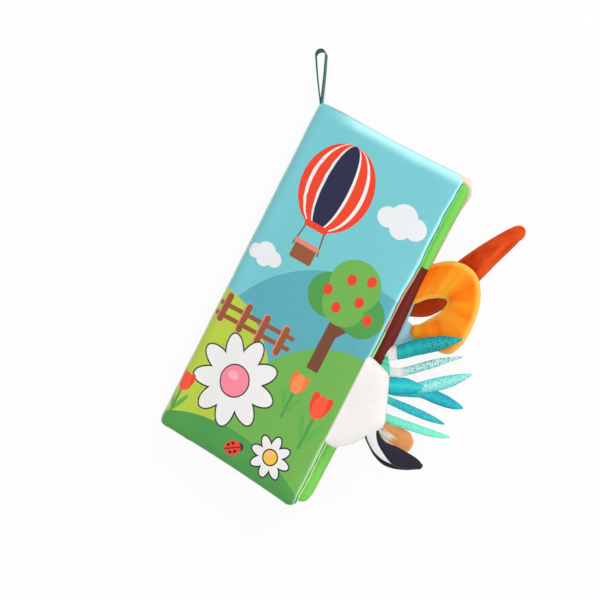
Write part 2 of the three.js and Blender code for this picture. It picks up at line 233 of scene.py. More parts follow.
# %% Floor
FLOOR_SPAN = 30.0
FLOOR_LEVEL = -0.0002
FLOOR_GLOW = 0.9
PAPER = (0.9, 0.9, 0.9, 1)
floor_mesh = bpy.data.meshes.new("floor")
signs = [(-1, -1), (1, -1), (1, 1), (-1, 1)]
corners = [(x * FLOOR_SPAN, y * FLOOR_SPAN, FLOOR_LEVEL) for x, y in signs]
floor_mesh.from_pydata(corners, [], [(0, 1, 2, 3)])
floor = bpy.data.objects.new("floor", floor_mesh)
scene.collection.objects.link(floor)
floor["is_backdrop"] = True
paper = bpy.data.materials.new("white_paper")
paper.use_nodes = True
sheet = paper.node_tree
sheet.nodes.clear()
matte = added(sheet, "BsdfDiffuse", {"Color": PAPER})
glow = added(sheet, "Emission", {})
share = math_of(sheet, "MULTIPLY", seen_directly(sheet), FLOOR_GLOW)
mixed_shader(sheet, share, matte, glow, added(sheet, "OutputMaterial", {}))
floor_mesh.materials.append(paper)
print("floor is", 2 * FLOOR_SPAN, "m wide")

# %% [markdown]
# ## Working with colour
# Inks are written as they look on a screen, from 0 to 255, and a shader wants linear light, so one
# function turns one into the other. The rest are moves that every finish repeats: a sum of vectors, a step
# that eases from one value to another, and an ink laid over what is under it.


# %% Colour helpers
def linear(red, green, blue):
    """A colour as it is seen on a screen, 0 to 255, as the linear values that a shader takes."""
    shares = np.array([red, green, blue]) / 255
    curve = np.where(shares <= 0.04045, shares / 12.92, ((shares + 0.055) / 1.055) ** 2.4)
    return (*curve.tolist(), 1.0)


def vector_of(tree, kind, *values):
    node = added(tree, "VectorMath", dict(enumerate(values)), operation=kind)
    return node.outputs["Value" if kind == "LENGTH" else "Vector"]


def eased(tree, value, start, end, low=0.0, high=1.0, ease="SMOOTHSTEP"):
    """A step from low to high while the value goes from start to end."""
    limits = {"Value": value, "From Min": start, "From Max": end, "To Min": low, "To Max": high}
    return added(tree, "MapRange", limits, interpolation_type=ease).outputs[0]


def laid_over(tree, share, under, ink):
    """A colour laid over another by a share. The ink is a screen colour or another node's output."""
    ink = linear(*ink) if isinstance(ink, tuple) else ink
    return added(tree, "Mix", {"Factor": share, 6: under, 7: ink}, data_type="RGBA").outputs[2]


print("white as linear light:", linear(255, 255, 255))

# %% [markdown]
# ## Printing blocks
# The leaves are printed polyester. The print could be painted as a picture, but a picture needs a file
# and blurs when the camera comes close. Here the shader draws it: each motif is a disc or a rounded bar,
# laid over what is under it, in the millimetres of the leaf. Two small node groups do all of it. Each
# also hands its place on to the next one, which makes the shader work through them in turn: a hundred
# loose masks are more than it has room for, and the cloth would turn black.

# %% Two printing blocks: a disc and a bar
BLOCK_INPUTS = {
    "Under": "Color", "Ink": "Color", "Place": "Vector", "Centre": "Vector", "Half": "Vector",
    "Turn": "Float", "Outer": "Float", "Inner": "Float",
}
BLOCK_OUTPUTS = {"Colour": "Color", "Place": "Vector"}
UNSEEN_SHIFT = (1e-7, 1e-7, 0)


def printing_block(name, bar):
    """A node group that lays one inked shape over the colour under it, and hands on the place."""
    block = bpy.data.node_groups.new(name, "ShaderNodeTree")
    for way, sockets in (("INPUT", BLOCK_INPUTS), ("OUTPUT", BLOCK_OUTPUTS)):
        for socket, kind in sockets.items():
            block.interface.new_socket(socket, in_out=way, socket_type=f"NodeSocket{kind}")
    given = block.nodes.new("NodeGroupInput").outputs
    from_centre = vector_of(block, "SUBTRACT", given["Place"], given["Centre"])
    spin = {"Vector": from_centre, "Angle": given["Turn"]}
    turned = added(block, "VectorRotate", spin, rotation_type="Z_AXIS", invert=True).outputs[0]
    if bar:
        past = vector_of(block, "SUBTRACT", vector_of(block, "ABSOLUTE", turned), given["Half"])
        reach = vector_of(block, "LENGTH", vector_of(block, "MAXIMUM", past, (0, 0, 0)))
    else:
        reach = vector_of(block, "LENGTH", vector_of(block, "DIVIDE", turned, given["Half"]))
    inked = eased(block, reach, given["Outer"], given["Inner"])
    colour = laid_over(block, inked, given["Under"], given["Ink"])
    place = vector_of(block, "MULTIPLY_ADD", colour, UNSEEN_SHIFT, given["Place"])
    wire(block, block.nodes.new("NodeGroupOutput"), {"Colour": colour, "Place": place})
    return block


BLOCKS = {"disc": printing_block("print_disc", False), "bar": printing_block("print_bar", True)}
print("printing blocks:", list(BLOCKS))

# %% [markdown]
# ## A sheet to print on
# A printer starts with the ground colour and adds one block after another. This class works the same
# way: it keeps the colour so far, and each disc or bar goes over it. The edge of an ink is blurred by a
# fraction of a millimetre, as ink that soaks into cloth is.

# %% A sheet to print on
INK_BLUR = 0.15


def flat_colour(tree, colour):
    node = added(tree, "RGB", {})
    node.outputs[0].default_value = linear(*colour)
    return node.outputs[0]


class Print:
    """Collects inked shapes on one cloth, from the ground up."""

    def __init__(self, name, ground):
        self.material = bpy.data.materials.new(name)
        self.material.use_nodes = True
        self.tree = self.material.node_tree
        self.place = added(self.tree, "UVMap", {}).outputs[0]
        self.colour = flat_colour(self.tree, ground)

    def lay(self, kind, x, y, half, ink, turn, outer, inner):
        shape = {"Centre": (x, y, 0), "Half": (*half, 1), "Turn": math.radians(turn)}
        edge = {"Ink": linear(*ink), "Outer": outer, "Inner": inner}
        under = {"Under": self.colour, "Place": self.place}
        block = added(self.tree, "Group", under | shape | edge, node_tree=BLOCKS[kind])
        self.colour, self.place = block.outputs["Colour"], block.outputs["Place"]

    def disc(self, x, y, half_x, half_y, ink, turn=0.0):
        blur = INK_BLUR / min(half_x, half_y)
        self.lay("disc", x, y, (half_x, half_y), ink, turn, 1 + blur, 1 - blur)

    def bar(self, x, y, half_x, half_y, ink, turn=0.0, rounding=0.6):
        rounding = min(rounding, half_x, half_y)
        half = (half_x - rounding, half_y - rounding)
        self.lay("bar", x, y, half, ink, turn, rounding + INK_BLUR, rounding - INK_BLUR)


print("a print starts with its ground and is built up by discs and bars")

# %% [markdown]
# ## The cloth under the ink
# Printed polyester is smooth, but from close by it shows its crossed threads and a slight unevenness of the
# ink. The threads could be real geometry, but at half a millimetre they are far too many, so they are a
# bump of two crossed waves. The unevenness is a soft noise that the colour is multiplied by.

# %% Weave and mottle
WAVE_UNIT = 0.314
WEAVE_STRENGTH = 0.35


def bumped(tree, height, strength, depth):
    inputs = {"Height": height, "Strength": strength, "Distance": depth}
    return added(tree, "Bump", inputs).outputs[0]


def weave_bump(tree, place, pitch, depth):
    """Crossed threads, as two sets of fine waves added together."""
    waves = []
    for direction in ("X", "Y"):
        inputs = {"Vector": place, "Scale": WAVE_UNIT / pitch, "Distortion": 0.4}
        wave = added(tree, "TexWave", inputs, bands_direction=direction)
        waves.append(wave.outputs["Fac"])
    return bumped(tree, math_of(tree, "ADD", *waves), WEAVE_STRENGTH, depth)


def noise_of(tree, place, scale, detail):
    return added(tree, "TexNoise", {"Vector": place, "Scale": scale, "Detail": detail}).outputs["Fac"]


def scaled(tree, colour, share):
    return added(tree, "VectorMath", {0: colour, "Scale": share}, operation="SCALE").outputs[0]


def mottled(tree, colour, place, scale, low=0.94, high=1.05):
    """The same colour with the slight unevenness that printed or brushed cloth has."""
    shade = eased(tree, noise_of(tree, place, scale, 4), 0, 1, low, high, "LINEAR")
    return scaled(tree, colour, shade)


print("a wave of scale 1 repeats every", WAVE_UNIT, "mm")

# %% [markdown]
# ## The finish of a print
# Along the rolled top edge and the fore-edge the print is made paler. This is a painted highlight of the
# light that falls on the rolled edges, measured from the leaf's edges. The soft shine of satin-faced
# cloth is the same all over, so it is set directly on the shader.

# %% Painted rim highlights and the finish of a print
PRINT_WEAVE = 0.45
TOP_HIGHLIGHT = 8.5
FORE_HIGHLIGHT = (2.8, 1.0)
HIGHLIGHT_GAIN = (1.22, 1.22, 1.22)
HIGHLIGHT_WHITE = (0.34, 0.34, 0.34)


def split_of(tree, place):
    """The two flat coordinates of a pattern place."""
    parts = added(tree, "SeparateXYZ", {0: place}).outputs
    return parts[0], parts[1]


def painted_rim_highlight(sheet, reach, height):
    """A painted highlight: paler print along the rolled top edge and fore-edge."""
    tree = sheet.tree
    out, up = split_of(tree, sheet.place)
    past_spine = eased(tree, out, 12, 40)
    top = math_of(tree, "MULTIPLY", eased(tree, up, height / 2 - TOP_HIGHLIGHT, height / 2), past_spine)
    fore = eased(tree, out, reach - FORE_HIGHLIGHT[0], reach - FORE_HIGHLIGHT[1], 0, 0.9)
    # painted highlight: the print made paler along the rolled edges
    highlit = vector_of(tree, "MULTIPLY_ADD", sheet.colour, HIGHLIGHT_GAIN, HIGHLIGHT_WHITE)
    sheet.colour = laid_over(tree, math_of(tree, "MAXIMUM", top, fore), sheet.colour, highlit)


def finish_print(sheet):
    """Satin-faced printed polyester: the print, a fine weave and a little sheen."""
    tree = sheet.tree
    wire(tree, tree.nodes["Principled BSDF"], {
        "Base Color": mottled(tree, sheet.colour, sheet.place, 0.35, 0.97, 1.03),
        "Roughness": 0.5,
        "Specular IOR Level": 0.25,
        "Sheen Weight": 0.05,
        "Sheen Roughness": 0.4,
        "Normal": weave_bump(tree, sheet.place, PRINT_WEAVE, 0.00012),
    })
    return sheet.material


print("print cloth has a thread every", PRINT_WEAVE, "mm")

# %% [markdown]
# ## Inks and things in the sky
# The inks are few, flat and bright, as they are in a first book. A cloud is four discs. A balloon is one
# disc with narrower ones over it, which makes its stripes look round without any curve being drawn.

# %% Inks, cloud and balloon
SKY = (120, 201, 209)
FAR_HILL = (92, 172, 186)
LIME = (186, 208, 70)
GRASS = (112, 178, 80)
DEEP_GRASS = (78, 155, 76)
WHITE = (243, 241, 240)
CLOUD = (236, 238, 240)
NAVY = (30, 28, 62)
BLACK = (28, 26, 36)
RED = (240, 66, 36)
PINK = (252, 140, 160)
PALE_PINK = (255, 178, 190)
BROWN = (150, 84, 52)
BARK = (116, 68, 46)
SALMON = (226, 140, 112)
ORANGE = (244, 120, 60)
GOLD = (252, 200, 70)
STEM_LEAF = (96, 176, 72)


def cloud(sheet, x, y, size):
    for dx, dy, r in ((-1.1, 0, 0.8), (0, 0.45, 1.05), (1.15, 0.1, 0.85), (0.1, -0.35, 0.8)):
        sheet.disc(x + dx * size, y + dy * size, r * size, r * size * 0.9, CLOUD)


def balloon(sheet, x, y, size):
    for side in (-1, 1):
        sheet.bar(x + side * size * 0.3, y - size * 1.25, 0.5, size * 0.45, BARK, side * 10)
    sheet.bar(x, y - size * 1.75, size * 0.32, size * 0.24, BROWN, 0, 1.5)
    sheet.bar(x, y - size * 1.55, size * 0.36, size * 0.06, SALMON, 0, 0.6)
    for share, ink in ((1.0, RED), (0.8, WHITE), (0.7, RED), (0.42, WHITE), (0.34, NAVY)):
        sheet.disc(x, y, size * share, size * 1.12, ink)
    sheet.bar(x, y - size * 1.06, size * 0.34, size * 0.08, RED, 0, 1.2)


print("things in the sky: cloud, balloon")

# %% [markdown]
# ## Flowers and a ladybird
# A daisy is a ring of petals, so it is a loop: first all petals a little larger in black, then all of them
# in white, and the black left showing is the outline. A tulip is three discs on a stem, and a ladybird is
# a red disc with a head, a middle line and spots that turn with it.


# %% Flowers and a ladybird
def daisy(sheet, x, y, size, petals, heart):
    sheet.bar(x + size * 0.15, y - size * 1.5, size * 0.09, size * 0.9, DEEP_GRASS, 6, 1)
    for ink, grow in ((BLACK, 1.0), (WHITE, 0.0)):
        for k in range(petals):
            turn = 360 * k / petals
            px = x + math.cos(math.radians(turn)) * size * 0.62
            py = y + math.sin(math.radians(turn)) * size * 0.62
            sheet.disc(px, py, size * 0.46 + grow, size * 0.23 + grow, ink, turn)
    sheet.disc(x, y, size * 0.36 + 0.9, size * 0.36 + 0.9, BLACK)
    sheet.disc(x, y, size * 0.36, size * 0.36, heart)
    sheet.disc(x - size * 0.08, y + size * 0.1, size * 0.14, size * 0.1, PALE_PINK)


def tulip(sheet, x, y, size, ink):
    sheet.bar(x, y - size * 1.5, size * 0.1, size * 1.2, DEEP_GRASS, 0, 0.8)
    for side in (-1, 1):
        leaf_x = x + side * size * 0.42
        sheet.disc(leaf_x, y - size * 1.5, size * 0.16, size * 0.8, STEM_LEAF, side * -24)
    for side in (-1, 1):
        petal_x = x + side * size * 0.36
        sheet.disc(petal_x, y + size * 0.1, size * 0.3, size * 0.72, ink, side * -14)
    sheet.disc(x, y, size * 0.44, size * 0.74, tuple(min(255, c + 22) for c in ink))


def ladybird(sheet, x, y, size, turn):
    c, s = math.cos(math.radians(turn)), math.sin(math.radians(turn))
    sheet.disc(x + c * size * 0.85, y + s * size * 0.85, size * 0.42, size * 0.46, BLACK, turn)
    sheet.disc(x, y, size, size * 0.8, RED, turn)
    sheet.bar(x, y, size, 0.35, BLACK, turn, 0.3)
    for along, across in ((-0.45, 0.38), (0.1, 0.48), (-0.35, -0.42), (0.2, -0.4)):
        spot_x = x + size * (c * along - s * across)
        spot_y = y + size * (s * along + c * across)
        sheet.disc(spot_x, spot_y, size * 0.17, size * 0.17, BLACK)


print("flowers: daisy, tulip, and a ladybird")

# %% [markdown]
# ## A tree and a fence
# The tree's crown is two dark discs behind two light ones, with apples over them. Each post of the fence
# is drawn twice, the second time narrower and a little to the right, which leaves a lit edge on the left.

# %% Apple tree and fence
CROWN = (
    (-0.5, -0.1, 0.62, DEEP_GRASS), (0.5, -0.15, 0.64, DEEP_GRASS), (0, 0.4, 0.72, GRASS),
    (-0.05, -0.15, 0.6, GRASS),
)
APPLES = ((-0.62, 0.0), (-0.15, 0.5), (0.3, 0.1), (0.72, -0.2), (-0.2, -0.3), (0.35, 0.7))


def apple_tree(sheet, x, y, size):
    sheet.bar(x, y - size * 1.25, size * 0.17, size * 0.75, BARK, 0, 1)
    sheet.bar(x + size * 0.2, y - size * 0.8, size * 0.08, size * 0.4, BARK, -35, 1)
    for dx, dy, r, ink in CROWN:
        sheet.disc(x + dx * size, y + dy * size, r * size, r * size * 0.92, ink)
    for dx, dy in APPLES:
        sheet.disc(x + dx * size, y + dy * size, size * 0.13, size * 0.14, RED)


def fence(sheet, left, right, y, posts):
    for rail in (3.2, -4.2):
        sheet.bar((left + right) / 2, y + rail, (right - left) / 2, 1.5, BROWN, 3, 0.8)
    for k in range(posts):
        x = left + (right - left) * (k + 0.5) / posts
        sheet.bar(x, y, 2.6, 10.5, SALMON, 0, 2.2)
        sheet.bar(x + 0.5, y, 2.1, 10, BROWN, 0, 2)


print("apples on a tree:", len(APPLES))

# %% [markdown]
# ## The cover's print
# The cover has a bright meadow: a turquoise sky, a far hill, rolling greens and a few large motifs. It is
# drawn from the far hill to the nearest flower, so that each shape hides what is behind it. Last come the
# lines along the edges: a pale line of painted highlight on the pressed fold by the spine, a dark line of
# painted shade in the crevice of the fore-edge seam, and past it a thin edge of the cloth on the other side,
# in the colours of that page.

# %% The front cover
FOLD_HIGHLIGHT = 3.2
SEAM_SHADE_LINE = 113.75
TURNED_EDGE = 114.4
cover = Print("meadow_print", SKY)
cover.disc(96, -60, 92, 92, FAR_HILL)
cloud(cover, 92, 74, 9)
cloud(cover, 18, 14, 6.5)
balloon(cover, 42, 74, 26)
cover.disc(0, -112, 78, 96, LIME)
cover.disc(112, -96, 72, 84, GRASS)
apple_tree(cover, 84, 16, 25)
fence(cover, 2, 64, -28, 4)
cover.disc(58, -168, 92, 74, DEEP_GRASS)
daisy(cover, 40, -66, 28, 9, PINK)
daisy(cover, 86, -96, 13, 8, GOLD)
tulip(cover, 100, -52, 11, RED)
tulip(cover, 80, -46, 9, ORANGE)
tulip(cover, 8, -84, 9, RED)
ladybird(cover, 60, -104, 6, 35)
# a pale line of painted highlight on the pressed fold by the spine
cover.bar(FOLD_HIGHLIGHT, 0, 0.35, 116, (226, 240, 226))
painted_rim_highlight(cover, REACH["front_cover"], HEIGHT["front_cover"])
# a dark line of painted shade in the crevice of the fore-edge seam
cover.bar(SEAM_SHADE_LINE, 0, 0.25, 115, (44, 112, 96), 0, 0.2)
cover.bar(TURNED_EDGE, 83, 0.4, 31, (120, 222, 96), 0, 0.2)
cover.bar(TURNED_EDGE, 31, 0.4, 21, (226, 150, 124), 0, 0.2)
cover.bar(TURNED_EDGE, -52, 0.4, 62, (180, 232, 130), 0, 0.2)
MEADOW = finish_print(cover)
print("cover print:", len(cover.tree.nodes), "nodes")

# %% [markdown]
# ## Pages of the front half
# Only thin strips of the other pages show when the book is closed, and the rest is seen when it opens.
# Their grounds follow those strips: green with a maroon band on the front leaf, and green, salmon and lime
# inside the cover. Each page has a few motifs of its own, printed with the same blocks.

# %% Inside the cover, and both sides of the front leaf
LEAF_GREEN = (128, 212, 92)
MAROON = (108, 18, 6)
page = Print("inside_front_print", LEAF_GREEN)
page.bar(60, 31, 70, 21, (222, 142, 120), 0, 2)
page.bar(60, -22, 70, 32, (186, 232, 130), 0, 2)
for k, ink in enumerate((RED, PINK, GOLD, ORANGE)):
    tulip(page, 26 + 24 * k, -78, 9, ink)
cloud(page, 40, 84, 8)
apple_tree(page, 84, 70, 16)
INSIDE_FRONT = finish_print(page)

page = Print("front_leaf_print", LEAF_GREEN)
page.bar(60, 17, 70, 39, MAROON, 0, 2)
fence(page, 14, 108, -8, 6)
for k in range(5):
    daisy(page, 24 + 18 * k, -72 + 9 * (k % 2), 10, 8, GOLD)
cloud(page, 36, 92, 8)
balloon(page, 80, 92, 13)
FRONT_LEAF = finish_print(page)

page = Print("front_leaf_back_print", (225, 195, 160))
page.disc(40, -120, 110, 70, (120, 190, 90))
for k in range(3):
    apple_tree(page, 30 + 29 * k, -24 + 12 * (k % 2), 15)
cloud(page, 70, 84, 9)
FRONT_LEAF_BACK = finish_print(page)
print("front half:", [m.name for m in (INSIDE_FRONT, FRONT_LEAF, FRONT_LEAF_BACK)])

# %% [markdown]
# ## Pages of the back half
# The rear leaf and the inside of the back cover are pale blue and peach where they show between the tails.
# The back of the book can't be seen in the photograph, so it takes the cover's sky and hills, as a set of
# pages cut from one roll of cloth would.

# %% Both sides of the rear leaf and of the back cover
PEACH = (238, 206, 172)
# a pale band of painted highlight along the top edge of the back cover's cloth
TOP_EDGE_HIGHLIGHT = (206, 240, 244)
page = Print("rear_leaf_print", (160, 214, 234))
page.bar(60, 90, 80, 52, PEACH, 0, 2)
page.disc(70, -110, 120, 76, (172, 216, 92))
balloon(page, 62, 46, 24)
cloud(page, 28, 92, 7)
for k, ink in enumerate((PINK, RED, ORANGE, GOLD)):
    tulip(page, 28 + 23 * k, -58 - 6 * (k % 2), 9, ink)
REAR_LEAF = finish_print(page)

page = Print("rear_leaf_back_print", (232, 202, 168))
page.disc(30, -130, 120, 80, LIME)
daisy(page, 62, 20, 26, 9, PINK)
ladybird(page, 40, -74, 9, 20)
REAR_LEAF_BACK = finish_print(page)

page = Print("inside_back_print", (168, 214, 230))
page.bar(60, 78, 80, 32, (240, 214, 186), 0, 2)
# painted highlight along the top edge
page.bar(60, 116, 80, 6.5, TOP_EDGE_HIGHLIGHT, 0, 2)
page.disc(112, 116, 11, 11, (252, 236, 218))
page.disc(80, -120, 120, 80, GRASS)
apple_tree(page, 62, 34, 30)
fence(page, 18, 104, -40, 5)
cloud(page, 36, 92, 8)
INSIDE_BACK = finish_print(page)

page = Print("back_print", SKY)
# painted highlight along the top edge
page.bar(60, 116, 80, 4, TOP_EDGE_HIGHLIGHT, 0, 2)
page.disc(20, -80, 110, 80, FAR_HILL)
page.disc(100, -130, 110, 84, LIME)
page.disc(20, -150, 100, 70, DEEP_GRASS)
cloud(page, 40, 78, 10)
cloud(page, 84, 52, 7)
for k, ink in enumerate((RED, ORANGE, PINK)):
    tulip(page, 34 + 24 * k, -58 + 8 * (k % 2), 10, ink)
BACK = finish_print(page)
print("page prints:", sum(m.name.endswith("_print") for m in bpy.data.materials))

# %% [markdown]
# ## Filling cloth with air
# Padded cloth is sewn flat and takes its shape from what is inside. It could be sculpted, but Blender's
# cloth solver does it as the real thing does, in a few frames: the seam is pinned, pressure swells the
# cloth, and the settled points are read back, so no solver is left on the finished piece.

# %% Where the cloth settles
AIR_FRAMES = 20
CLOTH = {
    "quality": 6, "mass": 0.15, "tension_stiffness": 20, "compression_stiffness": 20, "shear_stiffness": 10,
    "bending_stiffness": 0.2, "use_pressure": True,
}


def coordinates_of(mesh):
    flat = np.empty(len(mesh.vertices) * 3)
    mesh.vertices.foreach_get("co", flat)
    return flat.reshape(-1, 3)


def settled_shape(piece, pins, pressure, slack):
    """Where a few frames of pressure from the inside carry the cloth."""
    group = piece.vertex_groups.new(name="seam")
    for point, hold in pins.items():
        group.add([point], hold, "REPLACE")
    cloth = piece.modifiers.new("air", "CLOTH")
    for name, value in CLOTH.items():
        setattr(cloth.settings, name, value)
    cloth.settings.uniform_pressure_force = pressure
    cloth.settings.shrink_min = -slack
    cloth.settings.vertex_group_mass = group.name
    cloth.settings.effector_weights.gravity = 0
    cloth.collision_settings.use_collision = False
    cloth.point_cache.frame_start = 1
    cloth.point_cache.frame_end = AIR_FRAMES
    for frame_number in range(1, AIR_FRAMES + 1):
        scene.frame_set(frame_number)
    settled = piece.evaluated_get(bpy.context.evaluated_depsgraph_get())
    points = coordinates_of(settled.data)
    piece.modifiers.remove(cloth)
    piece.vertex_groups.remove(group)
    scene.frame_set(1)
    return points


print("filling:", f"{AIR_FRAMES} frames a piece")

# %% [markdown]
# ## Keeping the filled shape
# The solver's answer could be used as it is, but it knows no wadding that holds the two sides together. It
# would carry a leaf's cloth some 7 mm, into its neighbour, and let loose cloth sink into the filling. So the
# answer is taken as a move for each point, inward by a fraction of a millimetre at most and never past a
# cap.

# %% The filling step
MOST_INWARD = 0.0003


def fill_with_air(piece, pins, pressure, cap, slack=0.0):
    """Swells a cloth form from the inside, up to a cap, and tells how far it went at most."""
    start = coordinates_of(piece.data)
    normals = np.empty(len(start) * 3)
    piece.data.vertices.foreach_get("normal", normals)
    normals = normals.reshape(-1, 3)
    move = settled_shape(piece, pins, pressure, slack) - start
    out = (move * normals).sum(axis=1, keepdims=True)
    move += normals * (np.maximum(out, -MOST_INWARD) - out)
    far = np.linalg.norm(move, axis=1, keepdims=True)
    move *= np.minimum(1, cap / np.maximum(far, 1e-9))
    piece.data.vertices.foreach_set("co", (start + move).ravel())
    piece.data.update()
    return min(cap, float(far.max()))


print("cloth sinks at most", MOST_INWARD * MM, "mm into its filling")

# %% [markdown]
# ## From a pattern to a mesh
# Each piece below is worked out as points and faces, together with the flat place that each point had on
# the cutting table. That place is kept as the mesh's UV map, in millimetres. A finish that reads it stays
# on the cloth when the piece swells or bends, and its scale is that of the real threads and motifs.


# %% A mesh with its pattern
def new_piece(name, points, faces, place, materials, face_materials=None):
    """A smooth mesh from points in metres, with a flat pattern place, in millimetres, for each point."""
    mesh = bpy.data.meshes.new(name)
    mesh.from_pydata(np.asarray(points).tolist(), [], faces)
    layer = mesh.uv_layers.new(name="pattern")
    loop_points = np.empty(len(mesh.loops), int)
    mesh.loops.foreach_get("vertex_index", loop_points)
    layer.data.foreach_set("uv", np.asarray(place, float)[loop_points].ravel())
    for material in materials:
        mesh.materials.append(material)
    if face_materials is not None:
        mesh.polygons.foreach_set("material_index", face_materials)
    mesh.polygons.foreach_set("use_smooth", [True] * len(mesh.polygons))
    piece = bpy.data.objects.new(name, mesh)
    scene.collection.objects.link(piece)
    return piece


print("each piece keeps its flat pattern as a UV map")

# %% [markdown]
# ## The pattern of a leaf
# A leaf is two printed cloths sewn face to face round a sheet of wadding, then turned out. Its edge is a
# soft roll about as thick as the wadding, and the seam runs round the middle of that roll. A box with
# bevelled edges comes close, but its seam can't pucker. This pattern is a grid with round corners and
# closer lines near the seam, so that the roll has points to bend at.

# %% The front cloth of a leaf
LEAF_FACE = 3.4
GUTTER = 9.0
SEAM_STEPS = np.array([0, 0.35, 1.0, 2.0, 3.4, 5.2])
GRID_PITCH = 4.2
CORNER = 7.0
EDGE_ROLL = 5.0
CROWN_RISE = 0.5
CROWN_WIDTH = 30.0
SIDE_PULL = 1.0


def seam_lines(length):
    first, last = SEAM_STEPS[-1], length - SEAM_STEPS[-1]
    between = np.linspace(first, last, round((last - first) / GRID_PITCH) + 1)
    return np.concatenate([SEAM_STEPS, between[1:-1], length - SEAM_STEPS[::-1]])


def leaf_front(xs, ys, half_x, half_y):
    """The front cloth of a padded leaf about its middle: round corners, a rolled edge and a low crown."""
    x, y = (a.ravel() for a in np.meshgrid(xs, ys, indexing="ij"))
    over_x = np.clip(np.abs(x) - half_x + CORNER, 0, None)
    over_y = np.clip(np.abs(y) - half_y + CORNER, 0, None)
    bend_x = over_x * np.sqrt(1 - 0.5 * (over_y / CORNER) ** 2)
    bend_y = over_y * np.sqrt(1 - 0.5 * (over_x / CORNER) ** 2)
    inset = np.clip(CORNER - np.hypot(bend_x, bend_y), 0, None)
    inset = np.where((over_x > 0) | (over_y > 0), inset, CORNER)
    deep = np.minimum(half_x - np.abs(x), half_y - np.abs(y))
    inset = np.where(inset < CORNER, inset, np.maximum(deep, inset))
    x = np.sign(x) * (np.abs(x) - over_x + bend_x)
    y = np.sign(y) * (np.abs(y) - over_y + bend_y)
    rolled = np.sqrt(1 - (1 - np.clip(inset / EDGE_ROLL, 0, 1)) ** 2)
    arch = np.clip((inset - EDGE_ROLL) / CROWN_WIDTH, 0, 1)
    lift = LEAF_FACE * rolled + CROWN_RISE * arch * arch * (3 - 2 * arch)
    y = y - np.sign(y) * SIDE_PULL * (1 - (x / half_x) ** 2) * (np.abs(y) / half_y) ** 4
    return np.stack([x, y, lift], 1)


print("grid lines across the cover:", len(seam_lines(REACH["front_cover"] - GUTTER)))

# %% [markdown]
# ## Two cloths sewn together
# The back cloth is the front one mirrored. Two separate meshes would part at the seam as soon as they swell,
# so both use the same points there, as sewn cloths share their thread. Each face remembers which cloth it
# belongs to, because the two sides of a leaf have different prints.


# %% Two cloths sewn together
def leaf_pattern(reach, height):
    """Points, faces, flat places, seam points and sides of a padded leaf, in its own millimetres."""
    half_x, half_y = (reach - GUTTER) / 2, height / 2
    xs = seam_lines(2 * half_x) - half_x
    ys = seam_lines(2 * half_y) - half_y
    front = leaf_front(xs, ys, half_x, half_y)
    front[:, 0] += half_x + GUTTER
    nx, ny = len(xs), len(ys)
    number = np.arange(nx * ny).reshape(nx, ny)
    seam = np.unique(np.concatenate([number[0], number[-1], number[:, 0], number[:, -1]]))
    back = number.copy()
    back[1:-1, 1:-1] = nx * ny + np.arange((nx - 2) * (ny - 2)).reshape(nx - 2, ny - 2)
    points = np.vstack([front, front[number[1:-1, 1:-1].ravel()] * (1, 1, -1)])
    faces, sides = [], []
    for side, grid in enumerate((number, back)):
        corners = [grid[:-1, :-1], grid[1:, :-1], grid[1:, 1:], grid[:-1, 1:]]
        quads = np.stack([c.ravel() for c in (corners[::-1] if side else corners)], 1)
        faces += quads.tolist()
        sides += [side] * len(quads)
    return points, faces, points[:, :2].copy(), seam.tolist(), sides


print("points of the cover:", len(leaf_pattern(REACH["front_cover"], HEIGHT["front_cover"])[0]))

# %% [markdown]
# ## Fore-edges and room
# A sewn fore-edge is never quite straight, so each leaf's is shifted a little, in and out, along its length.
# Noise could do that, but these bulges are listed one by one. Leaves lean on each other and don't pass
# through, so each is kept within the wedge of room that it has, which widens from the spine to the fore-edge.

# %% Fore-edges and the room between leaves
FORE_EDGE = {
    "front_cover": [
        (-117, 0), (-95, 0.3), (-78, -0.4), (-55, 0.3), (-30, -0.2), (0, 0.4), (22, -0.4), (36, -0.5),
        (48, 0.4), (60, 0.5), (75, -0.3), (90, -0.5), (104, 0.3), (117, 0),
    ],
    "front_leaf": [
        (-115, 0), (-60, 0), (-25, 0.8), (-5, 1.9), (8, 2.2), (25, 1.2), (45, -0.3), (65, -0.6),
        (85, -0.5), (100, 0), (115, 0),
    ],
    "rear_leaf": [
        (-115, 0), (-30, 0), (-8, 1.0), (14, 2.2), (24, 1.9), (36, 0.6), (55, -0.5), (95, -0.5),
        (107, 1.2), (115, 0.6),
    ],
    "back_cover": [(-117, 0), (0, 0.2), (117, 0)],
}
OPEN_ROOM = 2.5
SPINE_ROOM = 0.12
WEDGE_SHARE = 0.42


def kept_in_wedge(leaf, points):
    room = SPINE_ROOM + WEDGE_SHARE * points[:, 0] * math.tan(LEAF_TILT)
    highest = LEAF_FACE + (OPEN_ROOM if leaf == "front_cover" else room)
    lowest = -LEAF_FACE - (0.0 if leaf == "back_cover" else room)
    return np.clip(points[:, 2], lowest, highest)


print("fore-edges:", ", ".join(FORE_EDGE))

# %% [markdown]
# ## Leaves in the book
# Each leaf is swelled flat on the table and then laid in the book, because a flat pattern is easy to pin.
# Near the spine the cloth is held, since there it is sewn down, and the hold fades out over a few
# millimetres. After that the fore-edge is shifted, and the leaf takes its slope and its place.

# %% Leaves in the book
HELD_CLOTH = 20.0
HOLD_FADE = 8.0


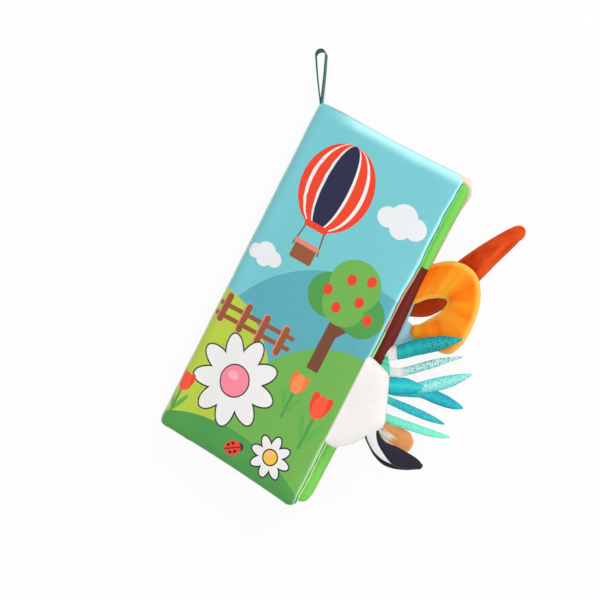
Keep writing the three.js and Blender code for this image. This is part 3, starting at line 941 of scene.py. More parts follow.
def padded_leaf(leaf, front, back):
    points, faces, place, seam, sides = leaf_pattern(REACH[leaf], HEIGHT[leaf])
    pad = new_piece(f"{leaf}_pattern", points / MM, faces, place, [])
    hold = np.clip((GUTTER + HELD_CLOTH - points[:, 0]) / HOLD_FADE, 0, 1)
    pins = {int(i): float(hold[i]) for i in np.flatnonzero(hold)} | {i: 1.0 for i in seam}
    swell = fill_with_air(pad, pins, pressure=4.0, cap=0.0012, slack=0.012)
    points = coordinates_of(pad.data) * MM
    bpy.data.objects.remove(pad)
    ups, shifts = np.array(FORE_EDGE[leaf]).T
    share = (points[:, 0] - GUTTER) / (REACH[leaf] - GUTTER)
    points[:, 0] += np.interp(points[:, 1], ups, shifts) * np.clip(share, 0, None) ** 9
    points[:, 2] = kept_in_wedge(leaf, points)
    piece = new_piece(f"{leaf}_pad", in_book(leaf, points), faces, place, [front, back], sides)
    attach(piece, leaf)
    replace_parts(piece, f"{leaf}_front_panel", f"{leaf}_back_panel")
    print(piece.name, "swells by up to", round(swell * MM, 2), "mm")


padded_leaf("front_cover", MEADOW, INSIDE_FRONT)
padded_leaf("front_leaf", FRONT_LEAF, FRONT_LEAF_BACK)
padded_leaf("rear_leaf", REAR_LEAF, REAR_LEAF_BACK)
padded_leaf("back_cover", INSIDE_BACK, BACK)
print("padded leaves:", len(LEVELS))

# %% [markdown]
# ## A sheet bent over a form
# The spine is covered by cloth that is bent one way only, like paper over a pencil. Such a sheet is
# fully told by one section and a row of places along the spine, so it is made that way and gets its
# thickness from Solidify. Its ends are tucked in with the roll of the cover that they lie under, and a
# slight wave along it keeps it from looking like a moulded strip.

# %% Bent sheets
END_STEPS = np.array([0, 0.3, 0.9, 1.8, 3.2, 5.0])
BENT_STEPS = 44
END_ROLL = 5.0
LAP_TUCK = ((9, 13), (1.0, 2.1))
SLACK_WAVES = ((0.12, 1 / 7.0, 0.0), (0.1, 1 / 3.1, 1.0))


def grid_faces(rows, columns, flip=False):
    """Four-sided faces over points that lie in rows of columns."""
    faces = []
    for k in range(rows - 1):
        for a in range(k * columns, (k + 1) * columns - 1):
            b = a + columns
            faces.append((a, a + 1, b + 1, b) if flip else (a, b, b + 1, a + 1))
    return faces


def thicken(piece, thickness):
    """Gives a sheet its real thickness, half to each side."""
    skin = piece.modifiers.new("thickness", "SOLIDIFY")
    skin.thickness = thickness / MM
    skin.offset = 0


def sum_of_waves(at, waves):
    """A sum of sines, each given by its height, pace and start."""
    return sum(high * np.sin(at * pace + start) for high, pace, start in waves)


def bent_sheet(name, leaf, section, ends, thickness, material, places, roll=0.0):
    """A sheet that follows one section, given as points out from and above the stitch line."""
    between = np.linspace(END_STEPS[-1] - ends, ends - END_STEPS[-1], BENT_STEPS)[1:-1]
    ups = np.concatenate([END_STEPS - ends, between, ends - END_STEPS[::-1]])
    wave = sum_of_waves(ups, SLACK_WAVES)
    from_end = np.clip((ends - np.abs(ups)) / END_ROLL, 0, 1)
    roll_in = roll * (1 - np.sqrt(1 - (1 - from_end) ** 2))
    slopes = np.gradient(np.array(section), axis=0)
    inward = np.stack([slopes[:, 1], -slopes[:, 0]], 1) / np.linalg.norm(slopes, axis=1, keepdims=True)
    inward *= np.sign(section[-1][1])
    middle = (LEVELS[leaf] - MIDDLE_LEVEL) * LEAF_PITCH
    rows = len(section)
    points, place = [], []
    for k, up in enumerate(ups):
        for r, (out, lift) in enumerate(section):
            slack = math.sin(math.pi * r / (rows - 1)) * wave[k]
            tuck = inward[r] * roll_in[k] * min(1, r / 3) * np.interp(out, *LAP_TUCK)
            points.append((out - slack + tuck[0], up, lift + tuck[1] - middle))
            place.append((places[r], up))
    piece = new_piece(name, in_book(leaf, points), grid_faces(len(ups), rows, True), place, [material])
    thicken(piece, thickness)
    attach(piece, leaf)
    return piece


print("a bent sheet has", 2 * len(END_STEPS) + BENT_STEPS - 2, "sections along the spine")

# %% [markdown]
# ## The spine cloth
# The cover cloth runs on past each cover, folds down round the spine and meets its other half at the
# stitched roll. If it stopped at the cover's edge a crease would show there, so it laps 24 mm under the
# cover and sinks into it little by little. Its print takes its place from the length of cloth that it has
# from the lap on, and so the picture runs round the spine without a jump.

# %% The spine cloth
SPINE_LAP = 24.0
SPINE_END = 117.2
SPINE_ROUND = GUTTER + 1.5
SPINE_START = (0.9, 1.75)
SPINE_TURNS = np.radians(np.linspace(14, 90, 14))
SPINE_THICK = 0.4
SPINE_TUCK = 1.8
CLOTH_PROUD = 0.02
LAP_DROPS = ((12.5, 0.0), (15, 0.06), (18, 0.16), (21, 0.3), (SPINE_LAP, 0.5))
FLOOR_CLEARANCE = 0.25


def spine_section(side):
    rise = MIDDLE_LEVEL * LEAF_PITCH + LEAF_FACE + CLOTH_PROUD
    section = [(SPINE_START[0], side * SPINE_START[1])]
    for turn in SPINE_TURNS:
        section.append((SPINE_ROUND - SPINE_ROUND * math.cos(turn), side * rise * math.sin(turn)))
    section += [(out, side * (rise - drop)) for out, drop in LAP_DROPS]
    return section


def spine_cloth(half, side, material):
    section = spine_section(side)
    steps = np.hypot(*np.diff(np.array(section), axis=0).T)
    places = SPINE_LAP - np.concatenate([np.cumsum(steps[::-1])[::-1], [0]])
    if side < 0:
        section = [(out, max(lift, -STITCH[2] + FLOOR_CLEARANCE)) for out, lift in section]
    cloth = (SPINE_END, SPINE_THICK, material, places, SPINE_TUCK)
    piece = bent_sheet(f"{half}_spine_cloth", f"{half}_cover", section, *cloth)
    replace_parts(piece, f"{half}_spine_wall")
    print(piece.name, "is cut", round(float(steps.sum()), 1), "mm wide")


spine_cloth("front", 1, MEADOW)
spine_cloth("back", -1, BACK)

# %% [markdown]
# ## The gutters
# The inner leaves reach the stitched roll by a narrow strip where their two cloths lie flat on each other
# with no wadding between. That strip is what bends when a page is turned. It is a short bent sheet, as
# thick as two cloths, that slopes from the roll up to its leaf.

# %% Gutter cloths
GUTTER_START = 1.75
GUTTER_END = GUTTER + 0.4
GUTTER_STEPS = 6
GUTTER_HALF_LENGTH = 113.5
GUTTER_THICK = 0.9
GUTTER_LOW = 0.18
for leaf, material, level, slot in (
    ("front_leaf", FRONT_LEAF, 0.5, "leaf_green_cloth"),
    ("rear_leaf", REAR_LEAF, -0.5, "light_blue_cloth"),
):
    line = []
    for t in np.linspace(0, 1, GUTTER_STEPS):
        out = GUTTER_START + (GUTTER_END - GUTTER_START) * t
        line.append((out, level * LEAF_PITCH * (GUTTER_LOW + (1 - GUTTER_LOW) * t)))
    places = [GUTTER + 2 * step for step in range(GUTTER_STEPS)]
    cloth = (GUTTER_HALF_LENGTH, GUTTER_THICK, material, places)
    piece = bent_sheet(f"{leaf}_gutter_cloth", leaf, line, *cloth)
    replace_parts(piece, f"{leaf}_gutter")
    print(piece.name, "is", round(GUTTER_END - GUTTER_START, 2), "mm wide")

# %% [markdown]
# ## Velour
# The tails are cut from short-pile velour, which is dark when it is looked into and light at a grazing
# angle. Real hairs would be the other way to make it, but pile this short never shows as hairs. The sheen
# of the Principled shader gives the light rim. A noise in the base colour paints the light and dark patches
# of brushed pile, a painted sheen. Along the seams the colour is made paler, a painted rim highlight, and
# along the tail it goes from painted shade at the root to painted light towards the tip.

# %% Velour
PILE_STOPS = (0.38, 0.64)
RIM_HIGHLIGHT_BAND = (6.5, 10.0)


def pattern_space(name):
    """A new material, its node tree, its surface and the place on the flat pattern."""
    material = bpy.data.materials.new(name)
    material.use_nodes = True
    tree = material.node_tree
    return material, tree, tree.nodes["Principled BSDF"], added(tree, "UVMap", {}).outputs[0]


def stretched(tree, place, along, across):
    """The place with each direction scaled, so that a noise on it is drawn out."""
    return added(tree, "Mapping", {"Vector": place, "Scale": (along, across, 1)}).outputs[0]


def velour(name, dark, light, rim, stretch=(0.14, 0.14), shade_to_light=(1.0, 1.0, 100.0), rim_highlight=0.0):
    """Short pile: patches of painted sheen stretched along or across the tail, painted shade at the root and
    painted light towards the tip, a painted rim highlight by the seams, fine pile and a grazing rim.
    """
    material, tree, surface, place = pattern_space(name)
    # light and dark patches of painted sheen, as brushed pile shows
    brushed_sheen = noise_of(tree, stretched(tree, place, *stretch), 1.0, 4)
    ramp = added(tree, "ValToRGB", {"Fac": brushed_sheen})
    for stop, position, colour in zip(ramp.color_ramp.elements, PILE_STOPS, (dark, light)):
        stop.position = position
        stop.color = linear(*colour)
    along, across = split_of(tree, place)
    # painted shade at the root, painted light towards the tip
    at_root, at_tip, run = shade_to_light
    shaded_along = scaled(tree, ramp.outputs["Color"], eased(tree, along, 0, run, at_root, at_tip, "LINEAR"))
    # painted rim highlight along the seams
    rim_highlight_mask = eased(tree, math_of(tree, "ABSOLUTE", across), *RIM_HIGHLIGHT_BAND, 0.0, rim_highlight)
    colour = laid_over(tree, rim_highlight_mask, shaded_along, rim)
    wire(tree, surface, {
        "Base Color": mottled(tree, colour, place, 1.6, 0.92, 1.06),
        "Roughness": 0.85,
        "Specular IOR Level": 0.15,
        "Sheen Weight": 0.5,
        "Sheen Roughness": 0.3,
        "Sheen Tint": linear(*rim),
        "Normal": bumped(tree, noise_of(tree, place, 2.4, 3), 0.4, 0.0004),
    })
    return material


ORANGE_PILE = {"dark": (255, 116, 2), "light": (255, 170, 40), "rim": (255, 212, 96)}
RUST_PILE = {"dark": (184, 48, 8), "light": (220, 80, 26), "rim": (250, 130, 76)}
# the streaks across the curl are painted sheen of the folds that fan out from its hollow
CURL_VELOUR = velour("orange_velour", **ORANGE_PILE, stretch=(0.07, 0.018), rim_highlight=0.8)
RUST_VELOUR = velour("rust_velour", **RUST_PILE, stretch=(0.05, 0.1), shade_to_light=(0.72, 1.36, 95.0), rim_highlight=0.25)
print("velours:", CURL_VELOUR.name, RUST_VELOUR.name)

# %% [markdown]
# ## Plain cloth
# The flap, the tuft, the tab and the seam thread are plain dyed cloth. A single colour would look like
# plastic, so the dye is a little uneven, the crossed threads make a fine bump, and some sheen stands for
# the loose fibres on the surface.


# %% Plain cloth
def plain_cloth(name, colour, roughness=0.8, pitch=0.5, sheen=0.2):
    material, tree, surface, place = pattern_space(name)
    wire(tree, surface, {
        "Base Color": mottled(tree, flat_colour(tree, colour), place, 0.3),
        "Roughness": roughness,
        "Specular IOR Level": 0.25,
        "Sheen Weight": sheen,
        "Normal": weave_bump(tree, place, pitch, 0.0002),
    })
    return material


WHITE_CLOTH = plain_cloth("white_cloth", (248, 245, 241))
print("plain cloth:", WHITE_CLOTH.name)

# %% [markdown]
# ## Smooth lines
# Tails, ribbons and tabs are drawn by a few points on their edges, as a pattern cutter marks them. A curve
# object could join those points, but what is needed is the points between, at known steps. This is the same
# kind of curve, worked out directly: it passes through every mark and turns evenly between them.


# %% Smooth lines
def smooth_line(points, count):
    """A smooth curve through the points, with even steps between them."""
    points = np.asarray(points, float)
    slopes = np.gradient(points, axis=0)
    at = np.linspace(0, len(points) - 1, count)
    first = np.clip(at.astype(int), 0, len(points) - 2)
    t = (at - first)[:, None]
    start = points[first] * (1 + 2 * t) * (1 - t) ** 2 + slopes[first] * t * (1 - t) ** 2
    return start + points[first + 1] * t * t * (3 - 2 * t) + slopes[first + 1] * t * t * (t - 1)


def run_along(points):
    """How far along a line each of its points lies."""
    return np.concatenate([[0], np.cumsum(np.linalg.norm(np.diff(points, axis=0), axis=1))])


print("between three marks:", smooth_line([(0, 0), (1, 1), (2, 0)], 5).round(2).tolist())

# %% [markdown]
# ## Stuffed forms
# A tail is two velour shapes sewn round the edge, turned out through the root and stuffed. A tube with a
# changing radius would make a sausage. Here it is drawn by its left and right edges instead, as a sewing
# pattern is. Sections are laid across from edge to edge, each swells to the thickness of the stuffing, and
# the air step then rounds the form between its seams.

# %% A stuffed form
SEAM_PLACE = 10.0
TIP_STEPS = (0.25, 0.48, 0.68, 0.84, 0.95)
TIP_RINGS_HELD = 8
SPREAD_ROUNDNESS = 0.92
RISE_ROUNDNESS = 0.86


def ring_faces(rings, sides, flip=False):
    """Four-sided faces round a tube whose points lie in rings."""
    faces = []
    for k in range(rings - 1):
        for i in range(sides):
            a, b = k * sides + i, k * sides + (i + 1) % sides
            faces.append((a, a + sides, b + sides, b) if flip else (a, b, b + sides, a + sides))
    return faces


def signed_power(value, power):
    return math.copysign(abs(value) ** power, value)


def stuffed_form(
    name, leaf, edges, tip, thick, root_thick, material,
    lift=0.0, root_lift=0.0, count=44, sides=28, swell_end=0.3, crease=None, low=-math.inf,
):
    """A closed stuffed form on a leaf's fore-edge, from edge pairs out from it and along it."""
    lines = smooth_line(edges, count)
    left, right = lines[:, :2], lines[:, 2:]
    middle, across = (left + right) / 2, (left - right) / 2
    last, last_across, tip = middle[-1], across[-1], np.asarray(tip, float)
    for s in TIP_STEPS:
        middle = np.vstack([middle, last + (tip - last) * s])
        across = np.vstack([across, last_across * math.sqrt(1 - s * s)])
    stations = len(middle)
    share = np.linspace(0, 1, stations)
    swell = np.clip(share / swell_end, 0, 1)
    swell = swell * swell * (3 - 2 * swell)
    width = np.linalg.norm(across, axis=1)
    high = np.minimum((root_thick + (thick - root_thick) * swell) / 2, width * 0.9)
    level = root_lift + (lift - root_lift) * swell
    length = run_along(middle)
    points, place = [], []
    for k in range(stations):
        for angle in 2 * math.pi * np.arange(sides) / sides:
            c, s = math.cos(angle), math.sin(angle)
            spot = middle[k] + across[k] * signed_power(c, SPREAD_ROUNDNESS)
            rise = high[k] * signed_power(s, RISE_ROUNDNESS)
            if crease:
                rise *= 1 + crease(share[k], c)
            points.append((*spot, level[k] + rise))
            place.append((length[k], SEAM_PLACE * c))
    points = np.array([*points, (*middle[0], root_lift), (*tip, lift)])
    points[:, 0] += REACH[leaf]
    points[:, 2] = np.maximum(points[:, 2], low)
    place += [(0, 0), (length[-1] + 1, 0)]
    faces = ring_faces(stations, sides)
    root, end, rim = stations * sides, stations * sides + 1, (stations - 1) * sides
    for i in range(sides):
        after = (i + 1) % sides
        faces += [(root, after, i), (end, rim + i, rim + after)]
    piece = new_piece(name, in_book(leaf, points), faces, place, [material])
    seam = [k * sides + i for k in range(stations) for i in (0, sides // 2)]
    closed = range((stations - TIP_RINGS_HELD) * sides, stations * sides)
    return piece, {i: 1.0 for i in [*seam, *range(sides), *closed, root, end]}, length[-1]


print("stuffed forms are drawn by their edges")

# %% [markdown]
# ## A tail on its leaf
# All three tails are finished alike: the form is swelled, named after the solid that it stands for, and
# takes that solid's place.

# %% A tail on its leaf
AIR_IN_TAILS = 3.0


def stuffed_tail(name, leaf, up, bend_out, slot, fill, cap, **form):
    """A stuffed form that stands for a tail's cloth, swelled and put in place of it."""
    tail, seam, run = stuffed_form(name, leaf, **form)
    fill_with_air(tail, seam, pressure=AIR_IN_TAILS, cap=cap)
    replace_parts(tail, f"{name}_cloth")
    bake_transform(tail)
    print(name, "runs", round(run), "mm")


# %% [markdown]
# ## The curled tail
# The orange tail is cut as a wide hook that curls round and almost touches itself. On the inside of a
# curl the cloth is too long for its path and lies in folds that fan out from the hollow. They are modelled
# as a shallow wave that is strongest at the inner edge and dies out at the root and the tip.

# %% The curled tail
CURL_EDGES = [
    (-2.5, 57.0, -2.0, 30.5), (2.4, 62.0, 1.8, 32.2), (8, 66.2, 6.6, 37.6), (14, 68.5, 11, 41),
    (20.5, 69, 14.5, 43), (27.7, 67, 17.2, 43.9), (33.6, 61.3, 18.9, 43.4), (38, 53, 19.8, 42),
    (40.6, 42.5, 19.6, 40), (41.4, 30.5, 18.9, 37), (39.8, 20.5, 17.5, 33.6), (35, 14, 16.1, 31.1),
    (24, 12.6, 13.4, 26.7), (14, 13.0, 10.5, 21.9),
]
FOLD_DEPTH = 0.10
FOLD_PACE = 46


def curl_folds(share, side):
    """Shallow folds that fan out from the inside of the curl."""
    inside = max(0.0, 0.5 - 0.5 * side)
    ends = min(1, share * 4) * min(1, (1 - share) * 5)
    return FOLD_DEPTH * math.sin(share * FOLD_PACE) * inside * ends


stuffed_tail(
    "curl_tail", "rear_leaf", up=48, bend_out=7, slot="orange_velour", fill=0.7, cap=0.0012,
    edges=CURL_EDGES, tip=(6.8, 16.0), thick=9.0, root_thick=5.0, material=CURL_VELOUR,
    lift=0.6, root_lift=1.6, count=64, sides=36, swell_end=0.2, crease=curl_folds,
)

# %% [markdown]
# ## The straight tail
# The rust-coloured tail is a long cone, firmly stuffed, that comes out of the back cover under the curl.
# The book lies on that cover, so the tail's lower side is kept from sinking below the cloth it lies beside.

# %% The straight tail
STRAIGHT_EDGES = [
    (-1.2, 43, -1.2, 20), (7.5, 53, 12.5, 27), (11.5, 62.5, 20, 36.5), (16.5, 73, 27, 50),
    (21.5, 82.4, 32.5, 64.3), (27, 91.6, 36.9, 79), (32, 99.4, 40.6, 90), (35.4, 103.8, 42.8, 97.4),
]
stuffed_tail(
    "straight_tail", "back_cover", up=21, bend_out=8, slot="rust_velour", fill=0.8, cap=0.0004,
    edges=STRAIGHT_EDGES, tip=(42.6, 105.4), thick=8.4, root_thick=2.6, material=RUST_VELOUR,
    lift=1.3, low=-3.1,
)

# %% [markdown]
# ## The small tail
# The small tail has pale streaks that run out from its root over an orange ground, as brushed pile with
# a light tip does. They could be separate tufts, but they lie flat in the pile, so they are a noise drawn
# out along the tail, cut to hard edges and faded towards its end and its upper side.

# %% Streaked velour and the small tail
CORAL = (255, 170, 108)
CORAL_DARK = (243, 158, 96)
CORAL_RIM = (255, 214, 180)
STREAK = (255, 246, 236)
SMALL_EDGES = [
    (-1.2, -42.5, -1.2, -52.5), (5, -41.8, 5, -53.2), (14, -41.6, 14, -53.8), (23, -41.8, 23, -54.6),
    (30, -41.3, 30, -55), (37.5, -41.3, 37, -55), (41, -44, 40.6, -53.6),
]


def streaked_velour():
    # painted shade at the root, painted light towards the tip
    material = velour("coral_velour", CORAL_DARK, CORAL, CORAL_RIM, shade_to_light=(0.97, 1.12, 42.0))
    tree = material.node_tree
    surface = tree.nodes["Principled BSDF"]
    ground = surface.inputs["Base Color"].links[0].from_socket
    place = added(tree, "UVMap", {}).outputs[0]
    along, across = split_of(tree, place)
    drawn_out = noise_of(tree, stretched(tree, place, 0.05, 0.36), 1.0, 2)
    to_end = eased(tree, along, 29, 41, 0.0, 0.42, "LINEAR")
    to_upper = eased(tree, across, -1.0, 6.0, -0.03, 0.14)
    spare = math_of(tree, "SUBTRACT", drawn_out, math_of(tree, "ADD", to_end, to_upper))
    streaks = eased(tree, spare, 0.44, 0.6)
    wire(tree, surface, {"Base Color": laid_over(tree, streaks, ground, STREAK)})
    return material


stuffed_tail(
    "small_tail", "rear_leaf", up=-47.5, bend_out=7, slot="coral_velour", fill=0.6, cap=0.001,
    edges=SMALL_EDGES, tip=(42.8, -49), thick=6.6, root_thick=2.6, material=streaked_velour(), count=36,
)

# %% [markdown]
# ## A flat pillow
# The white flap is a flat pillow with rounded corners. A flat cloth blown up from both sides would lose its
# outline. So it is built as rings drawn in from the outline, above and below, each a little higher than the
# one outside it, and both sides share the outline as their seam.

# %% A flat pillow
CORNER_CUT = 2.4
OUTLINE_POINTS = 96
RING_INSETS = np.array([0, 0.25, 0.8, 1.8, 3.4, 5.6, 8.5, 12, 16])
FLAP_ROLL = 9.5
FLAP_HALF = 3.9
FLAP_MIDDLE = 4.0


def rounded(corners, cut, steps=6):
    """An outline with each corner turned into a short curve, and even steps along it."""
    corners = np.asarray(corners, float)
    points = []
    for before, corner, after in zip(np.roll(corners, 1, 0), corners, np.roll(corners, -1, 0)):
        a = corner + (before - corner) * min(cut / np.linalg.norm(before - corner), 0.45)
        b = corner + (after - corner) * min(cut / np.linalg.norm(after - corner), 0.45)
        for t in np.linspace(0, 1, steps):
            points.append(a * (1 - t) ** 2 + corner * 2 * t * (1 - t) + b * t * t)
    closed = np.array([*points, points[0]])
    run = run_along(closed)
    even = np.linspace(0, run[-1], OUTLINE_POINTS + 1)[:-1]
    return np.stack([np.interp(even, run, closed[:, i]) for i in (0, 1)], 1)


def pillow(outline):
    """Points and faces of a flat pillow: rings drawn in from the outline, above and below."""
    centre = outline.mean(axis=0)
    reach = np.linalg.norm(outline - centre, axis=1, keepdims=True)
    heights = FLAP_HALF * np.sqrt(1 - (1 - np.clip(RING_INSETS / FLAP_ROLL, 0, 1)) ** 2)
    count, rings = len(outline), []
    for inset, height in zip(RING_INSETS, heights):
        ring = outline + (centre - outline) * np.minimum(inset / reach, 0.97)
        rings.append(np.column_stack([ring, np.full(count, height)]))
    under = [ring * (1, 1, -1) for ring in rings[1:]]
    points = np.vstack([*rings, *under, [[*centre, FLAP_MIDDLE]], [[*centre, -FLAP_MIDDLE]]])
    faces = []
    for side, middle in enumerate((len(points) - 2, len(points) - 1)):
        start = side * (len(rings) - 1) * count
        lows = [0] + [start + r * count for r in range(1, len(rings))]
        for low, high in zip(lows, [*lows[1:], None]):
            for i in range(count):
                j = (i + 1) % count
                inner = (middle,) if high is None else (high + j, high + i)
                face = (low + i, low + j, *inner)
                faces.append(face[::-1] if side else face)
    return points, faces


print("a pillow has", len(RING_INSETS), "rings on each side")

# %% [markdown]
# ## The flap
# The flap is stuffed lightly and lies over the cover's rolled edge, so near the cover it steps up by the
# thickness of that roll. It could lie flat and cut through the roll unseen, but not when it is lifted. The
# air step swells it with its outline held.

# %% White flap
FLAP_CORNERS = [
    (-2.0, -69.8), (5, -70), (14.3, -61.5), (26, -45), (27.4, -40), (16.4, -15), (14, -11.2), (-2.6, -7.3),
]
STEP_UP = 3.0
FLAP = rounded(FLAP_CORNERS, CORNER_CUT)
points, faces = pillow(FLAP)
place = points[:, :2].copy()
points[:, 0] += REACH["front_cover"]
points[:, 2] += STEP_UP * np.clip((REACH["front_cover"] + 1.5 - points[:, 0]) / 4, 0, 1)
flap = new_piece("flap_pad", in_book("front_cover", points), faces, place, [WHITE_CLOTH])
fill_with_air(flap, {i: 1.0 for i in range(len(FLAP))}, pressure=AIR_IN_TAILS, cap=0.0012, slack=0.01)
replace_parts(flap, "flap_front_cloth", "flap_back_cloth")
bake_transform(flap)
print("flap:", len(points), "points")

# %% [markdown]
# ## The tuft
# The tuft at the flap's lower side is a small stuffed form of dark cloth, with a white band that narrows
# to a point along it. The band could be a second piece of cloth, but nothing shows an edge to it, so it is
# printed: the distance from a slanting middle line, cut where the band ends, with a black outline.

# %% Tuft
TUFT_DARK = (36, 30, 46)
OUTLINE = (20, 18, 24)
BAND = (238, 238, 242)
BAND_BLUR = 0.4
OUTLINE_WIDTH = 2.0
LOWER_RIM = -6.0
TUFT_EDGES = [
    (24.2, -42.5, 18.4, -51.2), (25.7, -45.6, 20.1, -53.9), (29.1, -48.1, 24.6, -57),
    (33.8, -49.2, 30.4, -60.3), (41.2, -47.9, 38, -62.3), (49, -47.6, 45.5, -61),
    (55.7, -47.8, 53.6, -57.2), (60, -49, 59.4, -53.2),
]


def tuft_cloth():
    """Dark cloth with a white band that narrows to a point along the tuft, and black rims."""
    material = plain_cloth("navy_cloth", TUFT_DARK, sheen=0.06)
    tree = material.node_tree
    surface = tree.nodes["Principled BSDF"]
    colour = surface.inputs["Base Color"].links[0].from_socket
    along, across = split_of(tree, added(tree, "UVMap", {}).outputs[0])
    half_width = eased(tree, along, 2, 27, 7.2, -0.1, "LINEAR")
    slant = math_of(tree, "SUBTRACT", math_of(tree, "MULTIPLY", along, 0.24), 1.4)
    off_middle = math_of(tree, "ABSOLUTE", math_of(tree, "ADD", across, slant))
    band = math_of(tree, "SUBTRACT", half_width, off_middle)
    rim = math_of(tree, "SUBTRACT", LOWER_RIM, across)
    for edge, reach, ink in ((rim, 0.0, OUTLINE), (band, OUTLINE_WIDTH, OUTLINE), (band, 0.0, BAND)):
        inked = eased(tree, edge, -BAND_BLUR - reach, BAND_BLUR - reach)
        colour = laid_over(tree, inked, colour, ink)
    wire(tree, surface, {"Base Color": colour})
    return material


tuft, seam, run = stuffed_form(
    "tuft", "front_cover", TUFT_EDGES, tip=(61.2, -51), thick=6.6, root_thick=3.0, material=tuft_cloth(),
    count=36,
)
fill_with_air(tuft, seam, pressure=AIR_IN_TAILS, cap=0.001)
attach(tuft, "flap")
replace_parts(tuft, "tuft_cloth")
print("tuft runs", round(run), "mm")

# %% [markdown]
# ## Ribbon cloth
# The ribbons are woven with cross ribs and a bright thread. Their finish is a fine wave along the length,
# with small flecks, dark ones of painted shade where the ribbon crinkles and light ones of painted glints
# of the bright thread, and a painted highlight that pales the colour down the middle, where the ribbon
# catches the light. Some are tinted at the root by the gathering that they come out of.

# %% Ribbon finish
MINT = (116, 246, 214)
LINEN = (248, 240, 238)


def ribbon_cloth(name, dark, light, fleck, flecks, middle=0.5, root=None):
    """Cross-ribbed ribbon with a painted highlight down the middle, flecks of painted shade and glints along
    its length, and a tint at its root.
    """
    material, tree, surface, place = pattern_space(name)
    along, across = split_of(tree, place)
    weft = {"Vector": place, "Scale": 0.32, "Distortion": 1.2, "Detail": 2}
    ribs = added(tree, "TexWave", weft, bands_direction="X").outputs["Fac"]
    spots = noise_of(tree, stretched(tree, place, 1.3, 0.8), 1.0, 2)
    # painted highlight down the middle
    pale = eased(tree, math_of(tree, "ABSOLUTE", across), 3.2, 0.0, 0.0, middle)
    share = math_of(tree, "ADD", math_of(tree, "MULTIPLY", ribs, 0.4), pale)
    past_root = eased(tree, along, 4, 26)
    # flecks of painted shade where the ribbon crinkles, and painted glints
    fleck_shade_and_glint = math_of(tree, "MULTIPLY", eased(tree, spots, 0.49, 0.58, 0.0, flecks), past_root)
    colour = laid_over(tree, share, flat_colour(tree, dark), light)
    colour = laid_over(tree, fleck_shade_and_glint, colour, fleck)
    if root:
        colour = laid_over(tree, eased(tree, along, 20, 12, 0.0, 0.85), colour, root)
    wire(tree, surface, {
        "Base Color": colour,
        "Roughness": 0.5,
        "Specular IOR Level": 0.3,
        "Normal": bumped(tree, math_of(tree, "ADD", ribs, spots), 0.5, 0.0003),
    })
    return material


TEAL_RIBBON = ribbon_cloth("teal_ribbon", (4, 150, 156), (24, 200, 198), (2, 92, 104), 0.85)
AQUA_RIBBON = ribbon_cloth("aqua_ribbon", (112, 210, 208), (220, 250, 246), (20, 130, 136), 0.8, 0.6, LINEN)
PALE_RIBBON = ribbon_cloth("pale_ribbon", (88, 222, 220), (206, 252, 246), (52, 190, 190), 0.7, 0.5)
SEA_RIBBON = ribbon_cloth("sea_ribbon", (8, 176, 196), (66, 232, 226), (6, 130, 160), 0.4, 0.5)
BLUE_RIBBON = ribbon_cloth("blue_ribbon", (6, 150, 180), (44, 222, 220), (8, 120, 150), 0.45, 0.4)
DEEP_RIBBON = ribbon_cloth("deep_ribbon", (10, 146, 178), (40, 206, 212), (80, 226, 222), 0.6, 0.3, MINT)
MINT_RIBBON = ribbon_cloth("mint_ribbon", (96, 244, 204), (160, 255, 232), (78, 226, 196), 0.4)
ORGANZA = ribbon_cloth("organza", (240, 236, 234), (253, 244, 243), (230, 196, 198), 0.5, 0.4)
print("ribbon finishes:", sum("ribbon" in m.name for m in bpy.data.materials), "and organza")

# %% [markdown]
# ## Outlines of the ribbons
# Seven pointed ribbons fan out from one seam, and the sheer end of an eighth shows behind them. Copies of one
# ribbon would look like a comb, and no two of these are alike. So each is drawn by a few pairs of
# marks on its two edges from root to point, with the level that it lies at and how much it arches.

